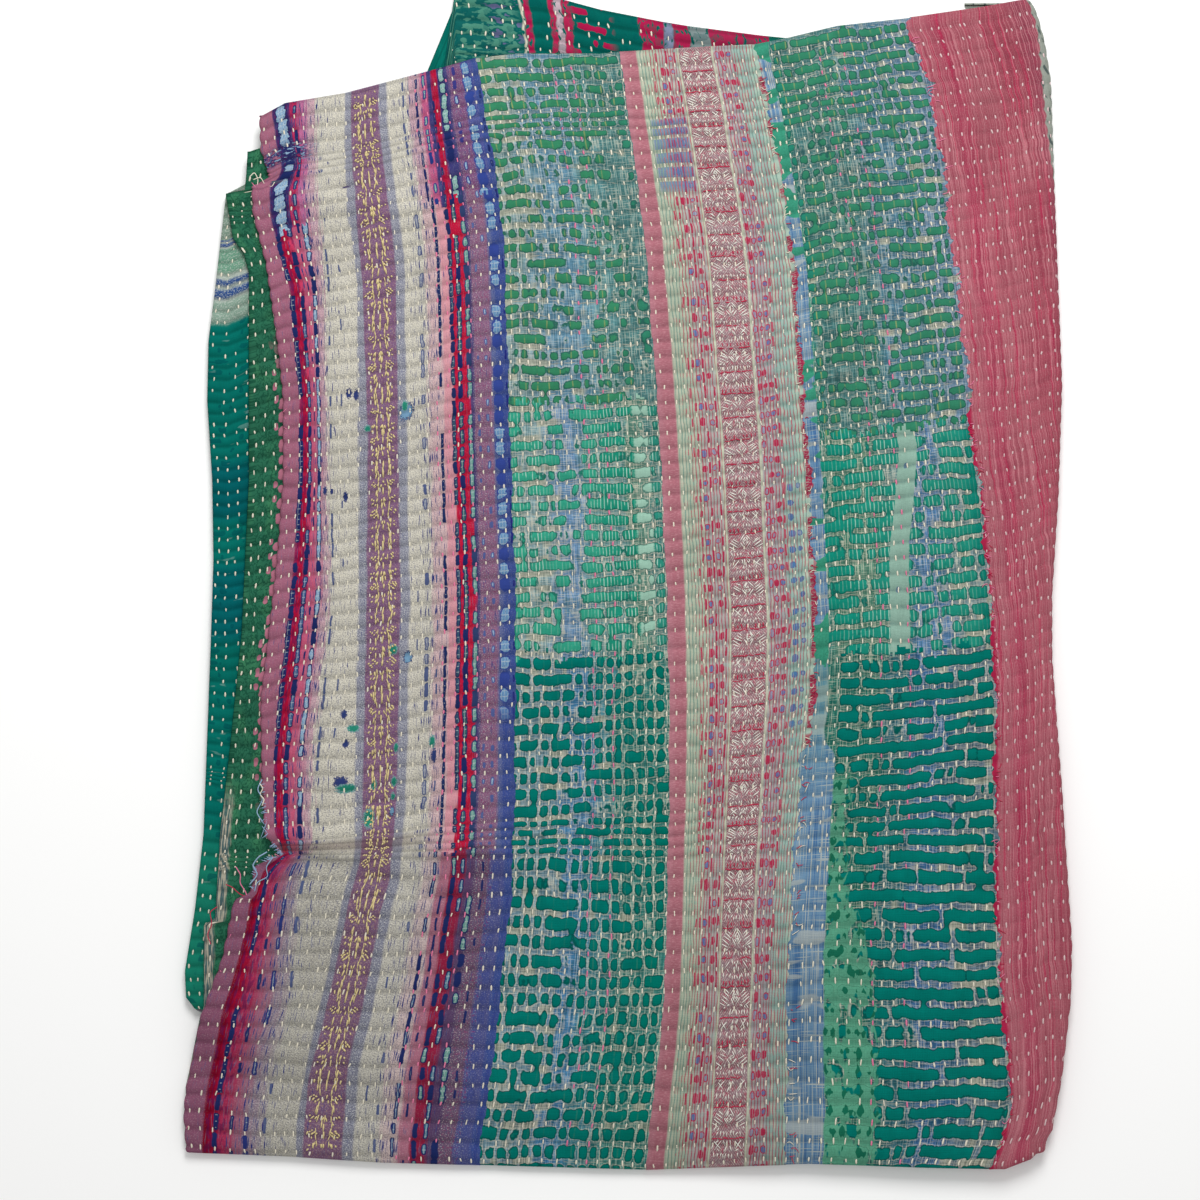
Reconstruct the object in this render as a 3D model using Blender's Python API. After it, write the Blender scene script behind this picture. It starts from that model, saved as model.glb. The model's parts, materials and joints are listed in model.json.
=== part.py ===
"""A kantha quilt, folded in quarters and lying flat: one solid sheet of stitched cloth layers.

The sheet is folded twice. The first fold runs along the bottom and lays one half under the other,
which makes a pair of leaves. The second, at the right, turns that pair over on itself. From the top:

    leaf 1   face up, nearly all that shows     outer leaf of the pair, upper run
    leaf 2   plain reverse up                   inner leaf of the pair, upper run
    leaf 3   face up                            inner leaf of the pair, lower run
    leaf 4   face down, flat on the ground      outer leaf of the pair, lower run

x runs to the right, y from the bottom fold to the open top edges, z up. The stack is centred on
the origin in x and y, and rests at z = 0. Tables are in millimetres, everything else in metres.
"""

import math

import bmesh
import bpy
import numpy as np

MM = 0.001

# Driving dimensions.
CLOTH = 3.0 * MM  # thickness of the stitched layers together
LEAF_PITCH = 4.5 * MM  # from the middle of one leaf to the middle of the next
STITCH_ROWS = 71  # from leaf 1's top edge to the bottom fold, 12.6 mm apart on the whole
RIB_RISE = 0.55 * MM  # how far a rib swells above the cloth's mean face, and a stitch row sinks
TURN_RADIUS = LEAF_PITCH  # of the surface between the two leaves, at the right fold
STACK_MIDDLE = CLOTH / 2 + 1.5 * LEAF_PITCH  # height of the right fold's axis
FOLD_REACH = TURN_RADIUS + LEAF_PITCH / 2 + CLOTH / 2  # from that axis to the cloth's outside
HALF_RIBS = 2 * STITCH_ROWS  # each rib swells from one stitch row and sinks to the next
COLOUR = (0.17, 0.33, 0.28, 1.0)

# Each leaf's left edge: (height y, edge x).
LEFT_EDGE = {
    1: (
        (-460, -354), (-429, -356), (-409, -354), (-350, -341), (-304, -324), (-256, -314),
        (-251, -301), (-229, -298), (-220, -277), (-205, -289), (-167, -292), (-96, -293),
        (-46, -287), (16, -280), (80, -275), (144, -275), (192, -280), (254, -289), (292, -299),
        (315, -300), (322, -286), (344, -293), (370, -294),
    ),
    2: (
        (-460, -353), (-409, -356), (-350, -343), (-343, -340), (-276, -340), (-274, -331),
        (-205, -327), (-133, -319), (-46, -310), (80, -304), (246, -304), (261, -308), (274, -317),
        (306, -322), (310, -322), (312, -307), (344, -305),
    ),
    3: (
        (-349, -345), (-336, -355), (-315, -356), (-266, -348), (-205, -341), (-46, -335),
        (16, -333), (80, -334), (144, -338), (192, -337), (231, -332), (309, -323),
    ),
    4: ((-349, -338), (-315, -348), (-266, -341), (-205, -334), (80, -327), (192, -330), (303, -316)),
}
# Each leaf's open top edge: (across x, edge y). Leaf 3 steps up where its corner looks out.
TOP_EDGE = {
    1: (
        (-294, 370), (-276, 380), (-228, 388), (-152, 408), (-124, 416), (-90, 420), (-24, 420),
        (38, 424), (99, 427), (129, 433), (166, 442), (221, 448), (283, 457), (322, 464),
    ),
    2: ((-305, 342), (-228, 368), (-152, 396), (-24, 412), (128, 425), (216, 440), (320, 458)),
    3: (
        (-323, 309), (-264, 340), (-156, 398), (-149, 411), (-140, 473), (-72, 470), (-24, 457),
        (37, 445), (129, 433), (216, 440), (320, 458),
    ),
    4: (
        (-316, 303), (-258, 335), (-156, 392), (-149, 405), (-140, 467), (-72, 464), (-24, 451),
        (37, 439), (129, 428), (216, 441), (322, 464),
    ),
}
# The bottom fold of each run: (across x, lowest y). Under the top pair it climbs to the left.
BOTTOM_FOLD = {
    "upper": (
        (-352, -460), (-276, -463), (-200, -468), (-128, -470), (13, -474), (144, -468),
        (243, -471), (301, -472), (322, -464), (335, -450),
    ),
    "lower": (
        (-344, -349), (-240, -372), (-104, -402), (56, -432), (200, -456), (280, -469),
        (301, -472), (322, -464), (335, -450),
    ),
}
# The right fold: (height y, outermost x).
RIGHT_FOLD = (
    (-450, 335), (-442, 340), (-399, 348), (-338, 355), (-292, 356), (-169, 348), (-62, 340),
    (-11, 340), (66, 345), (157, 348), (311, 342), (400, 339), (432, 334), (454, 328), (464, 323),
)
# Creases in the top pair: from (x, y) to (x, y), half width, rise, and the half width over which
# the crease drops off on the side that faces the top edge. A trough has a negative rise.
CREASES = (
    ("upper tuck", (-330, 312), (-190, 300), 13, 3.0, 9),
    ("over the upper tuck", (-300, 328), (-180, 320), 9, -0.6, 9),
    ("dent below the tuck", (-275, 270), (-240, 258), 10, -0.9, 10),
    ("lower tuck", (-300, -216), (-130, -238), 9, -0.8, 9),
    ("over the lower tuck", (-290, -197), (-110, -219), 13, 2.6, 13),
    ("swell under the lower tuck", (-310, -262), (-150, -268), 26, 1.6, 22),
    ("lift along the bottom", (-300, -440), (200, -440), 22, 1.2, 30),
    ("middle swell", (-20, -60), (40, 260), 60, 1.1, 60),
    ("right swell", (230, -300), (250, 120), 50, 1.2, 50),
)
# How far down its leaf some stitch rows lie: row, share of the way down at the left edge, and at
# the right fold. Rows draw together in the two tucks, and lie further apart near the bottom.
ROW_HEIGHTS = (
    (0, 0, 0), (4, 0.053, 0.047), (7, 0.070, 0.083), (15, 0.183, 0.179), (28, 0.365, 0.346),
    (38, 0.505, 0.481), (51, 0.702, 0.664), (55, 0.720, 0.727), (63, 0.861, 0.860), (71, 1, 1),
)
CREASE_END = 45 * MM  # over which a crease fades past its ends
LIFT = {1: 1.0, 2: 0.8, 3: 0.0, 4: 0.0}  # each leaf's share of the creases
SETTLE = 2 * LEAF_PITCH - 0.2 * MM  # how far the top pair sinks where the lower pair has ended
SETTLE_OVER = 50 * MM  # beyond the lower pair's fold

# Where the lattice has its columns, as shares of a run from the left edge to the right fold.
LOWER_COLUMNS = (0, 0.10, 0.19, 0.265, 0.288, 0.40, 0.55, 0.70, 0.85, 1)
UPPER_COLUMNS = (0, 0.008, 0.05, 0.11, 0.18, 0.25, 0.33, 0.44, 0.56, 0.70, 0.86, 1)
TURN_STEPS = 6  # round the right fold
HEM_STEPS = 5  # round the bottom fold
# A plain lattice row comes after this many half ribs, and more often where the cloth bends:
# from y, to y, every so many half ribs.
PLAIN_EVERY = 9
CLOSER_ROWS = (("upper tuck", 290, 348, 1), ("lower tuck", -262, -170, 1), ("foot", -480, -290, 2))


def rows_of(table):
    """A table's two columns as arrays in metres."""
    return np.array(table, float).T * MM


def read(table, place):
    keys, values = rows_of(table)
    return np.interp(place, keys, values)


def leaf_shares(turned, folded):
    """How much of each leaf's outline applies: turned goes from the lower run to the upper one
    round the right fold, folded from the outer leaf to the inner one round the bottom fold."""
    return {
        1: turned * (1 - folded),
        2: turned * folded,
        3: (1 - turned) * folded,
        4: (1 - turned) * (1 - folded),
    }


def fold_axis(y):
    """The right fold's axis in plan, inside its outermost line."""
    return read(RIGHT_FOLD, y) - FOLD_REACH - RIB_RISE


def plan(across, down, turned, folded):
    """The place in plan of a point across its run (0 at the left edge, 1 at the right fold) and
    down its leaf (0 at the top edge, 1 at the bottom fold)."""
    shares = leaf_shares(turned, folded)
    x = -0.3 + 0.62 * across
    y = 0.4 - 0.85 * down
    for _ in range(12):
        left = sum(share * read(LEFT_EDGE[leaf], y) for leaf, share in shares.items())
        x = left + (fold_axis(y) - left) * across
        top = sum(share * read(TOP_EDGE[leaf], x) for leaf, share in shares.items())
        low = turned * read(BOTTOM_FOLD["upper"], x) + (1 - turned) * read(BOTTOM_FOLD["lower"], x)
        low = low + LEAF_PITCH / 2 + CLOTH / 2
        y = top + (low - top) * down
    return x, y


def creases(x, y):
    """The rise of the top pair over its creases."""
    rise = np.zeros(np.broadcast(x, y).shape)
    for _name, start, end, half, height, back in CREASES:
        start, end = np.array(start) * MM, np.array(end) * MM
        run = end - start
        length = math.hypot(*run)
        along = ((x - start[0]) * run[0] + (y - start[1]) * run[1]) / length
        beside = ((y - start[1]) * run[0] - (x - start[0]) * run[1]) / length
        past = np.maximum(np.maximum(-along, along - length), 0)
        width = np.where(beside > 0, back, half) * MM
        rise += height * MM * np.exp(-((beside / width) ** 2) - (past / CREASE_END) ** 2)
    return rise


def settled(x, y):
    """How far the top pair has sunk where it runs out over the lower pair's bottom fold."""
    past = np.clip((read(BOTTOM_FOLD["lower"], x) - y) / SETTLE_OVER, 0, 1)
    return SETTLE * past**2 * (3 - 2 * past)


def place(across, down, turned, folded, side):
    """A point of the solid. side is its distance from the cloth's middle, outwards on leaf 1."""
    x, y = plan(across, down, turned, folded)
    right_angle, hem_angle = math.pi * turned, math.pi * folded
    reach = TURN_RADIUS + (LEAF_PITCH / 2 + side) * np.cos(hem_angle)
    shares = leaf_shares(turned, folded)
    lift = sum(LIFT[leaf] * share for leaf, share in shares.items()) * creases(x, y)
    lift = lift - (shares[1] + shares[2]) * settled(x, y)
    return (
        x + reach * np.sin(right_angle),
        y - (LEAF_PITCH / 2 + side) * np.sin(hem_angle),
        STACK_MIDDLE - reach * np.cos(right_angle) + lift,
    )


def columns():
    """(across, turned) of each lattice column, from the lower run's left edge to the upper's."""
    lower = [(share, 0.0) for share in LOWER_COLUMNS]
    turn = [(1.0, step / TURN_STEPS) for step in range(1, TURN_STEPS)]
    upper = [(share, 1.0) for share in reversed(UPPER_COLUMNS)]
    return lower + turn + upper


def way_down(half_rib, across):
    """A half rib's share of the way down its leaf."""
    row, at_left, at_right = np.array(ROW_HEIGHTS).T
    left = np.interp(half_rib / 2, row, at_left)
    return left + (np.interp(half_rib / 2, row, at_right) - left) * across


def plain_rows():
    """The half ribs where the plain lattice has a row: few, but more of them where it bends."""
    top, low = TOP_EDGE[1][1][1], BOTTOM_FOLD["upper"][1][1]
    kept = []
    for row in range(HALF_RIBS + 1):
        y = top + (low - top) * way_down(row, 0)
        steps = [every for _, start, end, every in CLOSER_ROWS if start <= y <= end]
        if row % min(steps, default=PLAIN_EVERY) == 0 or row == HALF_RIBS:
            kept.append(row)
    return kept


def rows():
    """(half rib, folded) of each plain lattice row, from the outer leaf's top to the inner's."""
    outer = [(row, 0.0) for row in plain_rows()]
    hem = [(HALF_RIBS, step / HEM_STEPS) for step in range(1, HEM_STEPS)]
    return outer + hem + [(row, 1.0) for row, _ in reversed(outer)]


def add_points(bm, across, down, turned, folded, side):
    points = np.stack(place(across, down, turned, folded, side), axis=-1)
    return [[bm.verts.new(point) for point in line] for line in points]


def plain_side(bm, side):
    """The plain lattice of one face of the cloth, as lists of rows."""
    across, turned = np.array(columns()).T
    half_rib, folded = np.array(rows()).T
    down = way_down(half_rib[:, None], across[None])
    return add_points(bm, across[None], down, turned[None], folded[:, None], side)


def ribbed_rows(bm, first):
    """Leaf 1's face and the right fold with its ribs, as rows from the column called first. The
    ribs run out at the first and last columns, where the plain cloth begins."""
    across, turned = np.array(columns()[first:]).T
    row = np.arange(HALF_RIBS + 1)
    fade = np.ones(len(across))
    fade[[0, -1]] = 0
    swell = RIB_RISE * np.outer(np.where(row % 2, 1.0, -1.0), fade)
    down = way_down(row[:, None], across[None])
    return add_points(bm, across[None], down, turned[None], 0.0, CLOTH / 2 + swell)


def cover(bm, corners):
    """Faces between the rows of a lattice, facing the side on which its rows run left to right
    and its columns from top to bottom."""
    for above, below in zip(corners, corners[1:]):
        for i in range(len(above) - 1):
            bm.faces.new((above[i], below[i], below[i + 1], above[i + 1]))


def zip_up(bm, first, second):
    """Triangles between two lines of points that run the same way, with any number in each. The
    half ribs that the points lie on keep them level."""
    i = j = 0
    while i + 1 < len(first) or j + 1 < len(second):
        step_first = first[i + 1][1] if i + 1 < len(first) else math.inf
        step_second = second[j + 1][1] if j + 1 < len(second) else math.inf
        if step_first <= step_second:
            bm.faces.new((first[i][0], first[i + 1][0], second[j][0]))
            i += 1
        else:
            bm.faces.new((first[i][0], second[j + 1][0], second[j][0]))
            j += 1


def quilt_mesh():
    bm = bmesh.new()
    face, reverse = plain_side(bm, CLOTH / 2), plain_side(bm, -CLOTH / 2)
    kept = plain_rows()
    hem = len(kept) - 1  # the plain row where the outer leaf ends
    first = len(LOWER_COLUMNS)  # the first column with ribs, just past the lower run
    ribbed = ribbed_rows(bm, first)

    # The face: ribbed on leaf 1 and round the right fold, plain elsewhere.
    for row in range(hem + 1):
        for vert in face[row][first:]:
            bm.verts.remove(vert)
        face[row] = face[row][:first]
    cover(bm, [line[:first] for line in face[: hem + 1]])
    cover(bm, ribbed)
    joint = face[hem] + ribbed[-1]
    cover(bm, [joint] + face[hem + 1 :])
    lower_seam = [(face[n][-1], row) for n, row in enumerate(kept)]
    ribbed_seam = [(line[0], n) for n, line in enumerate(ribbed)]
    zip_up(bm, lower_seam, ribbed_seam)
    # The reverse, turned the other way.
    cover(bm, [line[::-1] for line in reverse])

    # The rim, along the open edges: the outer leaf's top, the inner leaf's top, and both ends.
    top = face[0] + ribbed[0]
    cover(bm, [reverse[0], top])
    cover(bm, [face[-1], reverse[-1]])
    lower_end = [face[n][0] for n in range(len(face))]
    cover(bm, [[line[0] for line in reverse][::-1], lower_end[::-1]])
    inner_end = [line[-1] for line in face[hem + 1 :]]
    upper_end = [line[-1] for line in reverse]
    cover(bm, [[ribbed[-1][-1]] + inner_end, upper_end[hem:]])
    zip_up(
        bm,
        [(line[-1], n) for n, line in enumerate(ribbed)],
        [(upper_end[n], row) for n, row in enumerate(kept)],
    )
    bmesh.ops.recalc_face_normals(bm, faces=bm.faces)
    mesh = bpy.data.meshes.new("quilt")
    bm.to_mesh(mesh)
    bm.free()
    return mesh


def centre(mesh):
    """Moves the mesh so that the middle of its box is over the origin and its underside at 0."""
    points = np.empty(len(mesh.vertices) * 3)
    mesh.vertices.foreach_get("co", points)
    points = points.reshape(-1, 3)
    low, high = points.min(axis=0), points.max(axis=0)
    points -= ((low[0] + high[0]) / 2, (low[1] + high[1]) / 2, low[2])
    mesh.vertices.foreach_set("co", points.ravel())


def cotton():
    material = bpy.data.materials.new("worn_cotton")
    material.use_nodes = True
    shader = material.node_tree.nodes["Principled BSDF"]
    shader.inputs["Base Color"].default_value = COLOUR
    shader.inputs["Roughness"].default_value = 0.9
    shader.inputs["Metallic"].default_value = 0.0
    return material


def main():
    for obj in list(bpy.data.objects):
        bpy.data.objects.remove(obj)
    mesh = quilt_mesh()
    centre(mesh)
    mesh.shade_smooth()
    mesh.set_sharp_from_angle(angle=math.radians(50))
    mesh.materials.append(cotton())
    quilt = bpy.data.objects.new("quilt", mesh)
    bpy.context.scene.collection.objects.link(quilt)


main()
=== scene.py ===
# %% [markdown]
# # A kantha quilt, folded in quarters
#
# A kantha is old cloth given a second life: worn saris are laid on one another and sewn through with
# row after row of running stitch, until they are one soft sheet. This one has been used until its top
# cloth wore away between the stitches, so that the cloth below looks out through small windows.
#
# It could be modelled as a flat picture on a slab, but then its edges, ribs and folds would be paint.
# Here the folded sheet is one thick mesh, and each width of cloth on its top is a fine mesh of its own,
# laid on the same folds, with its own dye, weave and wear.

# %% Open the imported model
import json
import math
from functools import partial, partialmethod

import bpy
import numpy as np
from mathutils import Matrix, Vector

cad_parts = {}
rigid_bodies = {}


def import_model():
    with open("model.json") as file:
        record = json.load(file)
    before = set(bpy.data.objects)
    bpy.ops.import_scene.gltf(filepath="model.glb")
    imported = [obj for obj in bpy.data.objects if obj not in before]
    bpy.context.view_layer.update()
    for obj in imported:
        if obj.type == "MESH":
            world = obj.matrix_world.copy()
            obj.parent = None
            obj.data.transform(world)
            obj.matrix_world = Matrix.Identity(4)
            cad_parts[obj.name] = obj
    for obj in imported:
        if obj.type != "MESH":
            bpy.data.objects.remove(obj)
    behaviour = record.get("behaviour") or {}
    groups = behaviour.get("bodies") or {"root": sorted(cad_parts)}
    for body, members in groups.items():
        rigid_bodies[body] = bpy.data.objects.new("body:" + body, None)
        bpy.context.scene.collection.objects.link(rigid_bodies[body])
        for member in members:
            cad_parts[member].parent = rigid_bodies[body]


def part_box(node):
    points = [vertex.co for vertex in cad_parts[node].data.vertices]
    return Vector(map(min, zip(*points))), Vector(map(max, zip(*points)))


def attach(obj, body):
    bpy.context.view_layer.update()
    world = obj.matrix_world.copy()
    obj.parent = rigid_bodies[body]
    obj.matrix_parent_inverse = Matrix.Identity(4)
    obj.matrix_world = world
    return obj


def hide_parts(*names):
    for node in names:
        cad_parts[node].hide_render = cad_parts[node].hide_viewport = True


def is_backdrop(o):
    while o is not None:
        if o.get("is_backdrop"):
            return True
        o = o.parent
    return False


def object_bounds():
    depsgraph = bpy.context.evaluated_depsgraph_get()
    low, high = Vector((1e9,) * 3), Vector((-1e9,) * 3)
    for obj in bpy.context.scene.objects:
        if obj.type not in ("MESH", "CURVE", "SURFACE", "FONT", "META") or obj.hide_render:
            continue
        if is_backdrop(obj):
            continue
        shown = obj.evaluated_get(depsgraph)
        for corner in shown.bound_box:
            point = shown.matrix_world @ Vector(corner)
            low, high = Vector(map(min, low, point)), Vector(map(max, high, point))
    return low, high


for leftover in list(bpy.data.objects):
    bpy.data.objects.remove(leftover)
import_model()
cad_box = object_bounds()
MM = 0.001


def in_mm(box):
    return [[round(value / MM, 1) for value in corner] for corner in box]


print("the solid's box in mm:", in_mm(cad_box))

# %% [markdown]
# ## The folds
#
# The sheet is folded twice: one half goes under the other along the bottom, and that pair turns over
# on itself at the right. So four leaves lie on one another. Cloth simulation could fold it, but a
# simulated fold never lies where the real one does. These tables place the leaves' edges and folds,
# and two angles turn a point round the folds. They are the solid's own sizes.

# %% Sizes of the folded sheet
CLOTH = 3 * MM  # thickness of the stitched layers together
LEAF_PITCH = 4.5 * MM  # from the middle of one leaf to the middle of the next
STITCH_ROWS = 71  # from leaf 1's top edge to the bottom fold
ROW_PITCH = 12.6  # mm between rows, on the whole
RIB_RISE = 0.55 * MM
TURN_RADIUS = LEAF_PITCH  # of the surface between the two leaves, at the right fold
STACK_MIDDLE = CLOTH / 2 + 1.5 * LEAF_PITCH
FOLD_REACH = TURN_RADIUS + LEAF_PITCH / 2 + CLOTH / 2  # from the right fold's axis to the outside
TURN_LENGTH = math.pi * FOLD_REACH / MM  # of cloth round the outside of the right fold, in mm

# Each leaf's left edge: (height y, edge x), in mm. Leaf 1 is on top and leaf 4 on the ground.
LEFT_EDGE = {
    1: (
        (-460, -354), (-429, -356), (-409, -354), (-350, -341), (-304, -324), (-256, -314),
        (-251, -301), (-229, -298), (-220, -277), (-205, -289), (-167, -292), (-96, -293),
        (-46, -287), (16, -280), (80, -275), (144, -275), (192, -280), (254, -289), (292, -299),
        (315, -300), (322, -286), (344, -293), (370, -294),
    ),
    2: (
        (-460, -353), (-409, -356), (-350, -343), (-343, -340), (-276, -340), (-274, -331),
        (-205, -327), (-133, -319), (-46, -310), (80, -304), (246, -304), (261, -308), (274, -317),
        (306, -322), (310, -322), (312, -307), (344, -305),
    ),
    3: (
        (-349, -345), (-336, -355), (-315, -356), (-266, -348), (-205, -341), (-46, -335),
        (16, -333), (80, -334), (144, -338), (192, -337), (231, -332), (309, -323),
    ),
    4: ((-349, -338), (-315, -348), (-266, -341), (-205, -334), (80, -327), (192, -330), (303, -316)),
}
# Each leaf's open top edge: (across x, edge y).
TOP_EDGE = {
    1: (
        (-294, 370), (-276, 380), (-228, 388), (-152, 408), (-124, 416), (-90, 420), (-24, 420),
        (38, 424), (99, 427), (129, 433), (166, 442), (221, 448), (283, 457), (322, 464),
    ),
    2: ((-305, 342), (-228, 368), (-152, 396), (-24, 412), (128, 425), (216, 440), (320, 458)),
    3: (
        (-323, 309), (-264, 340), (-156, 398), (-149, 411), (-140, 473), (-72, 470), (-24, 457),
        (37, 445), (129, 433), (216, 440), (320, 458),
    ),
    4: (
        (-316, 303), (-258, 335), (-156, 392), (-149, 405), (-140, 467), (-72, 464), (-24, 451),
        (37, 439), (129, 428), (216, 441), (322, 464),
    ),
}
# The bottom fold of each run: (across x, lowest y).
BOTTOM_FOLD = {
    "upper": (
        (-352, -460), (-276, -463), (-200, -468), (-128, -470), (13, -474), (144, -468),
        (243, -471), (301, -472), (322, -464), (335, -450),
    ),
    "lower": (
        (-344, -349), (-240, -372), (-104, -402), (56, -432), (200, -456), (280, -469),
        (301, -472), (322, -464), (335, -450),
    ),
}
# The right fold: (height y, outermost x).
RIGHT_FOLD = (
    (-450, 335), (-442, 340), (-399, 348), (-338, 355), (-292, 356), (-169, 348), (-62, 340),
    (-11, 340), (66, 345), (157, 348), (311, 342), (400, 339), (432, 334), (454, 328), (464, 323),
)
# Stitch row, its share of the way down its leaf at the left edge, and at the right fold.
ROW_HEIGHTS = (
    (0, 0, 0), (4, 0.053, 0.047), (7, 0.07, 0.083), (15, 0.183, 0.179), (28, 0.365, 0.346),
    (38, 0.505, 0.481), (51, 0.702, 0.664), (55, 0.72, 0.727), (63, 0.861, 0.86), (71, 1, 1),
)
# Creases in the top pair: from (x, y) to (x, y), half width, rise, and the half width of the side
# that faces the top edge. The first ones are the solid's, and the last ones are finer.
CREASES = (
    ("upper tuck", (-330, 312), (-190, 300), 13, 3, 9),
    ("over the upper tuck", (-300, 328), (-180, 320), 9, -0.6, 9),
    ("dent below the tuck", (-275, 270), (-240, 258), 10, -0.9, 10),
    ("lower tuck", (-300, -216), (-130, -238), 9, -0.8, 9),
    ("over the lower tuck", (-290, -197), (-110, -219), 13, 2.6, 13),
    ("swell under the lower tuck", (-310, -262), (-150, -268), 26, 1.6, 22),
    ("lift along the bottom", (-300, -440), (200, -440), 22, 1.2, 30),
    ("middle swell", (-20, -60), (40, 260), 60, 1.1, 60),
    ("right swell", (230, -300), (250, 120), 50, 1.2, 50),
)
FINE_CREASES = (
    ("pinch in the upper tuck", (-292, 318), (-235, 313), 4, -1.2, 4),
    ("pinch in the lower tuck", (-292, -214), (-165, -248), 5, -1.7, 4),
    ("pull beside the purple stripe", (-224, 300), (-204, 190), 9, -0.7, 9),
    ("pull in the lower white", (-262, -250), (-272, -420), 10, -0.8, 10),
    ("hollow by the pink", (262, -30), (286, 200), 8, -0.7, 8),
    ("sag in the left field", (-60, -420), (-40, -250), 30, -0.8, 30),
    ("pull by the mauve stripe", (-8, 400), (18, 150), 7, 0.8, 7),
    ("ridge in the right field", (150, -380), (280, -395), 12, 0.8, 9),
    ("lip over the lower tuck", (-300, -200), (-160, -236), 7, 1.4, 7),
    ("fold under the lip", (-288, -221), (-170, -251), 4, -1.2, 3),
    ("lip over the upper tuck", (-296, 328), (-225, 322), 5, 0.9, 5),
    ("small pull in the white", (-250, 262), (-216, 236), 6, -0.9, 6),
    ("lower left swell", (-330, -330), (-250, -420), 30, 0.9, 30),
)
CREASE_END = 45 * MM
LIFT = {1: 1, 2: 0.8, 3: 0, 4: 0}  # each leaf's share of the creases
SETTLE = 2 * LEAF_PITCH - 0.2 * MM  # how far the top pair sinks where the lower pair has ended
SETTLE_OVER = 50 * MM

# %% [markdown]
# ## The widths of cloth
#
# The top is pieced from long widths of cloth that run up and down, and none of their seams is
# straight any more: sewing and washing have pulled them about. Each line between two colours is
# therefore a short table of its own. A point is named by how far across the cloth it was when the
# cloth lay flat, and by its row of stitches, and these lines carry it to where it lies now.

# %% Lines between the colours
# Name, distance across the flat cloth in mm, and (height y, x) along the line, in mm.
SEAM_LINES = (
    ("leaf's edge", 0, LEFT_EDGE[1]),
    ("mauve edge ends", 15.2, (
        (-457, -339), (-412, -335), (-376, -327), (-350, -321), (-324, -313), (-296, -307),
        (-273, -301), (-251, -297), (-233, -292), (-220, -276), (-200, -282), (-144, -282),
        (-48, -271), (9, -265), (86, -260.5), (143, -260.5), (236, -268), (251, -274), (292, -283),
        (312, -284), (332, -273), (348, -278), (373, -283),
    )),
    ("white begins", 43.2, (
        (-437, -294), (-376, -283), (-345, -273), (-296, -270), (-245, -264), (-212, -254),
        (-144, -254), (-16, -240), (240, -244), (304, -251), (344, -252),
    )),
    ("grey line", 64.8, (
        (-437, -269), (-350, -252), (-312, -242), (-245, -229), (-223, -221), (-144, -221),
        (-16, -218), (240, -219), (292, -226), (343, -228),
    )),
    ("purple begins", 72.8, (
        (-457, -263), (-401, -258), (-357, -246), (-312, -236), (-268, -227), (-216, -214),
        (-16, -210), (120, -209), (240, -214), (344, -223),
    )),
    ("purple ends", 99.2, (
        (-452, -231), (-391, -226), (-350, -216), (-312, -208), (-268, -200), (-240, -192),
        (-167, -187), (-16, -184), (251, -188), (292, -192), (332, -197), (364, -201),
    )),
    ("left field begins", 192, (
        (-456, -121), (-416, -113), (-336, -104), (-256, -95), (-176, -92), (-16, -91), (120, -96),
        (224, -99), (276, -101), (326, -107), (364, -114), (403, -120), (416, -124),
    )),
    ("centre band begins", 312.8, (
        (-471, 13), (-336, 28), (-176, 32), (-96, 32), (-16, 30), (120, 24), (276, 12), (422, -8),
    )),
    ("centre band ends", 428.8, (
        (-460, 130), (-368, 129), (-292, 131), (-200, 137), (-139, 142), (-93, 146), (-32, 148),
        (4, 146), (96, 142), (172, 136), (249, 131), (311, 122), (372, 111), (424, 100),
    )),
    ("pink begins", 568.8, (
        (-472, 288), (-454, 298), (-424, 305), (-399, 304), (-353, 301), (-323, 296), (-216, 293),
        (-93, 293), (-32, 290), (50, 283), (120, 273), (188, 268), (249, 260), (311, 253),
        (378, 243), (418, 232), (448, 221),
    )),
)
FOLD_AT = 614.7  # mm across the flat cloth, where it begins to turn round the right fold
HEIGHTS = np.arange(-490, 491, 2)
SMOOTH_OVER = 13  # heights
SMOOTHING = np.hanning(SMOOTH_OVER) / np.hanning(SMOOTH_OVER).sum()
LEAST_GAP = 0.8  # mm between two lines


def read(table, place):
    """A table's value at a place. Both are in metres, and the table in mm."""
    keys, values = np.array(table, float).T * MM
    return np.interp(place, keys, values)


def lay_out_seams():
    """Each seam line's x at each of HEIGHTS, in mm, smoothed and kept in order."""
    lines = []
    for _name, _across, table in SEAM_LINES:
        x = np.interp(HEIGHTS, *np.array(table, float).T)
        if lines:
            x = np.convolve(np.pad(x, SMOOTH_OVER // 2, mode="edge"), SMOOTHING, mode="valid")
            x = np.maximum(x, lines[-1] + LEAST_GAP)
        lines.append(x)
    return np.array(lines)


SEAMS = lay_out_seams()
SEAM_ACROSS = np.array([across for _name, across, _table in SEAM_LINES] + [FOLD_AT])
print(len(SEAM_LINES), "seam lines, from", SEAMS.min().round(), "to", SEAMS.max().round(), "mm")

# %% [markdown]
# ## From the flat cloth to the folded one
#
# One function does all the laying. It starts from a guess of where the point is, reads the edges and
# seams at that height, and improves the guess a few times until it stops moving. Then the two folds
# turn it over: at the right fold through half a circle, and at the bottom fold through a smaller one.

# %% Lay a point on the folds
PASSES = 10  # enough for every point to settle
TOP_GUESS, HEIGHT_GUESS = 0.4, 0.85  # metres, for the first pass


def fold_axis(y):
    """The right fold's axis in plan."""
    return read(RIGHT_FOLD, y) - FOLD_REACH - RIB_RISE


def leaf_shares(turned, folded):
    """How much of each leaf's outline applies at a point part of the way round the folds."""
    return {
        1: turned * (1 - folded),
        2: turned * folded,
        3: (1 - turned) * folded,
        4: (1 - turned) * (1 - folded),
    }


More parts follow.
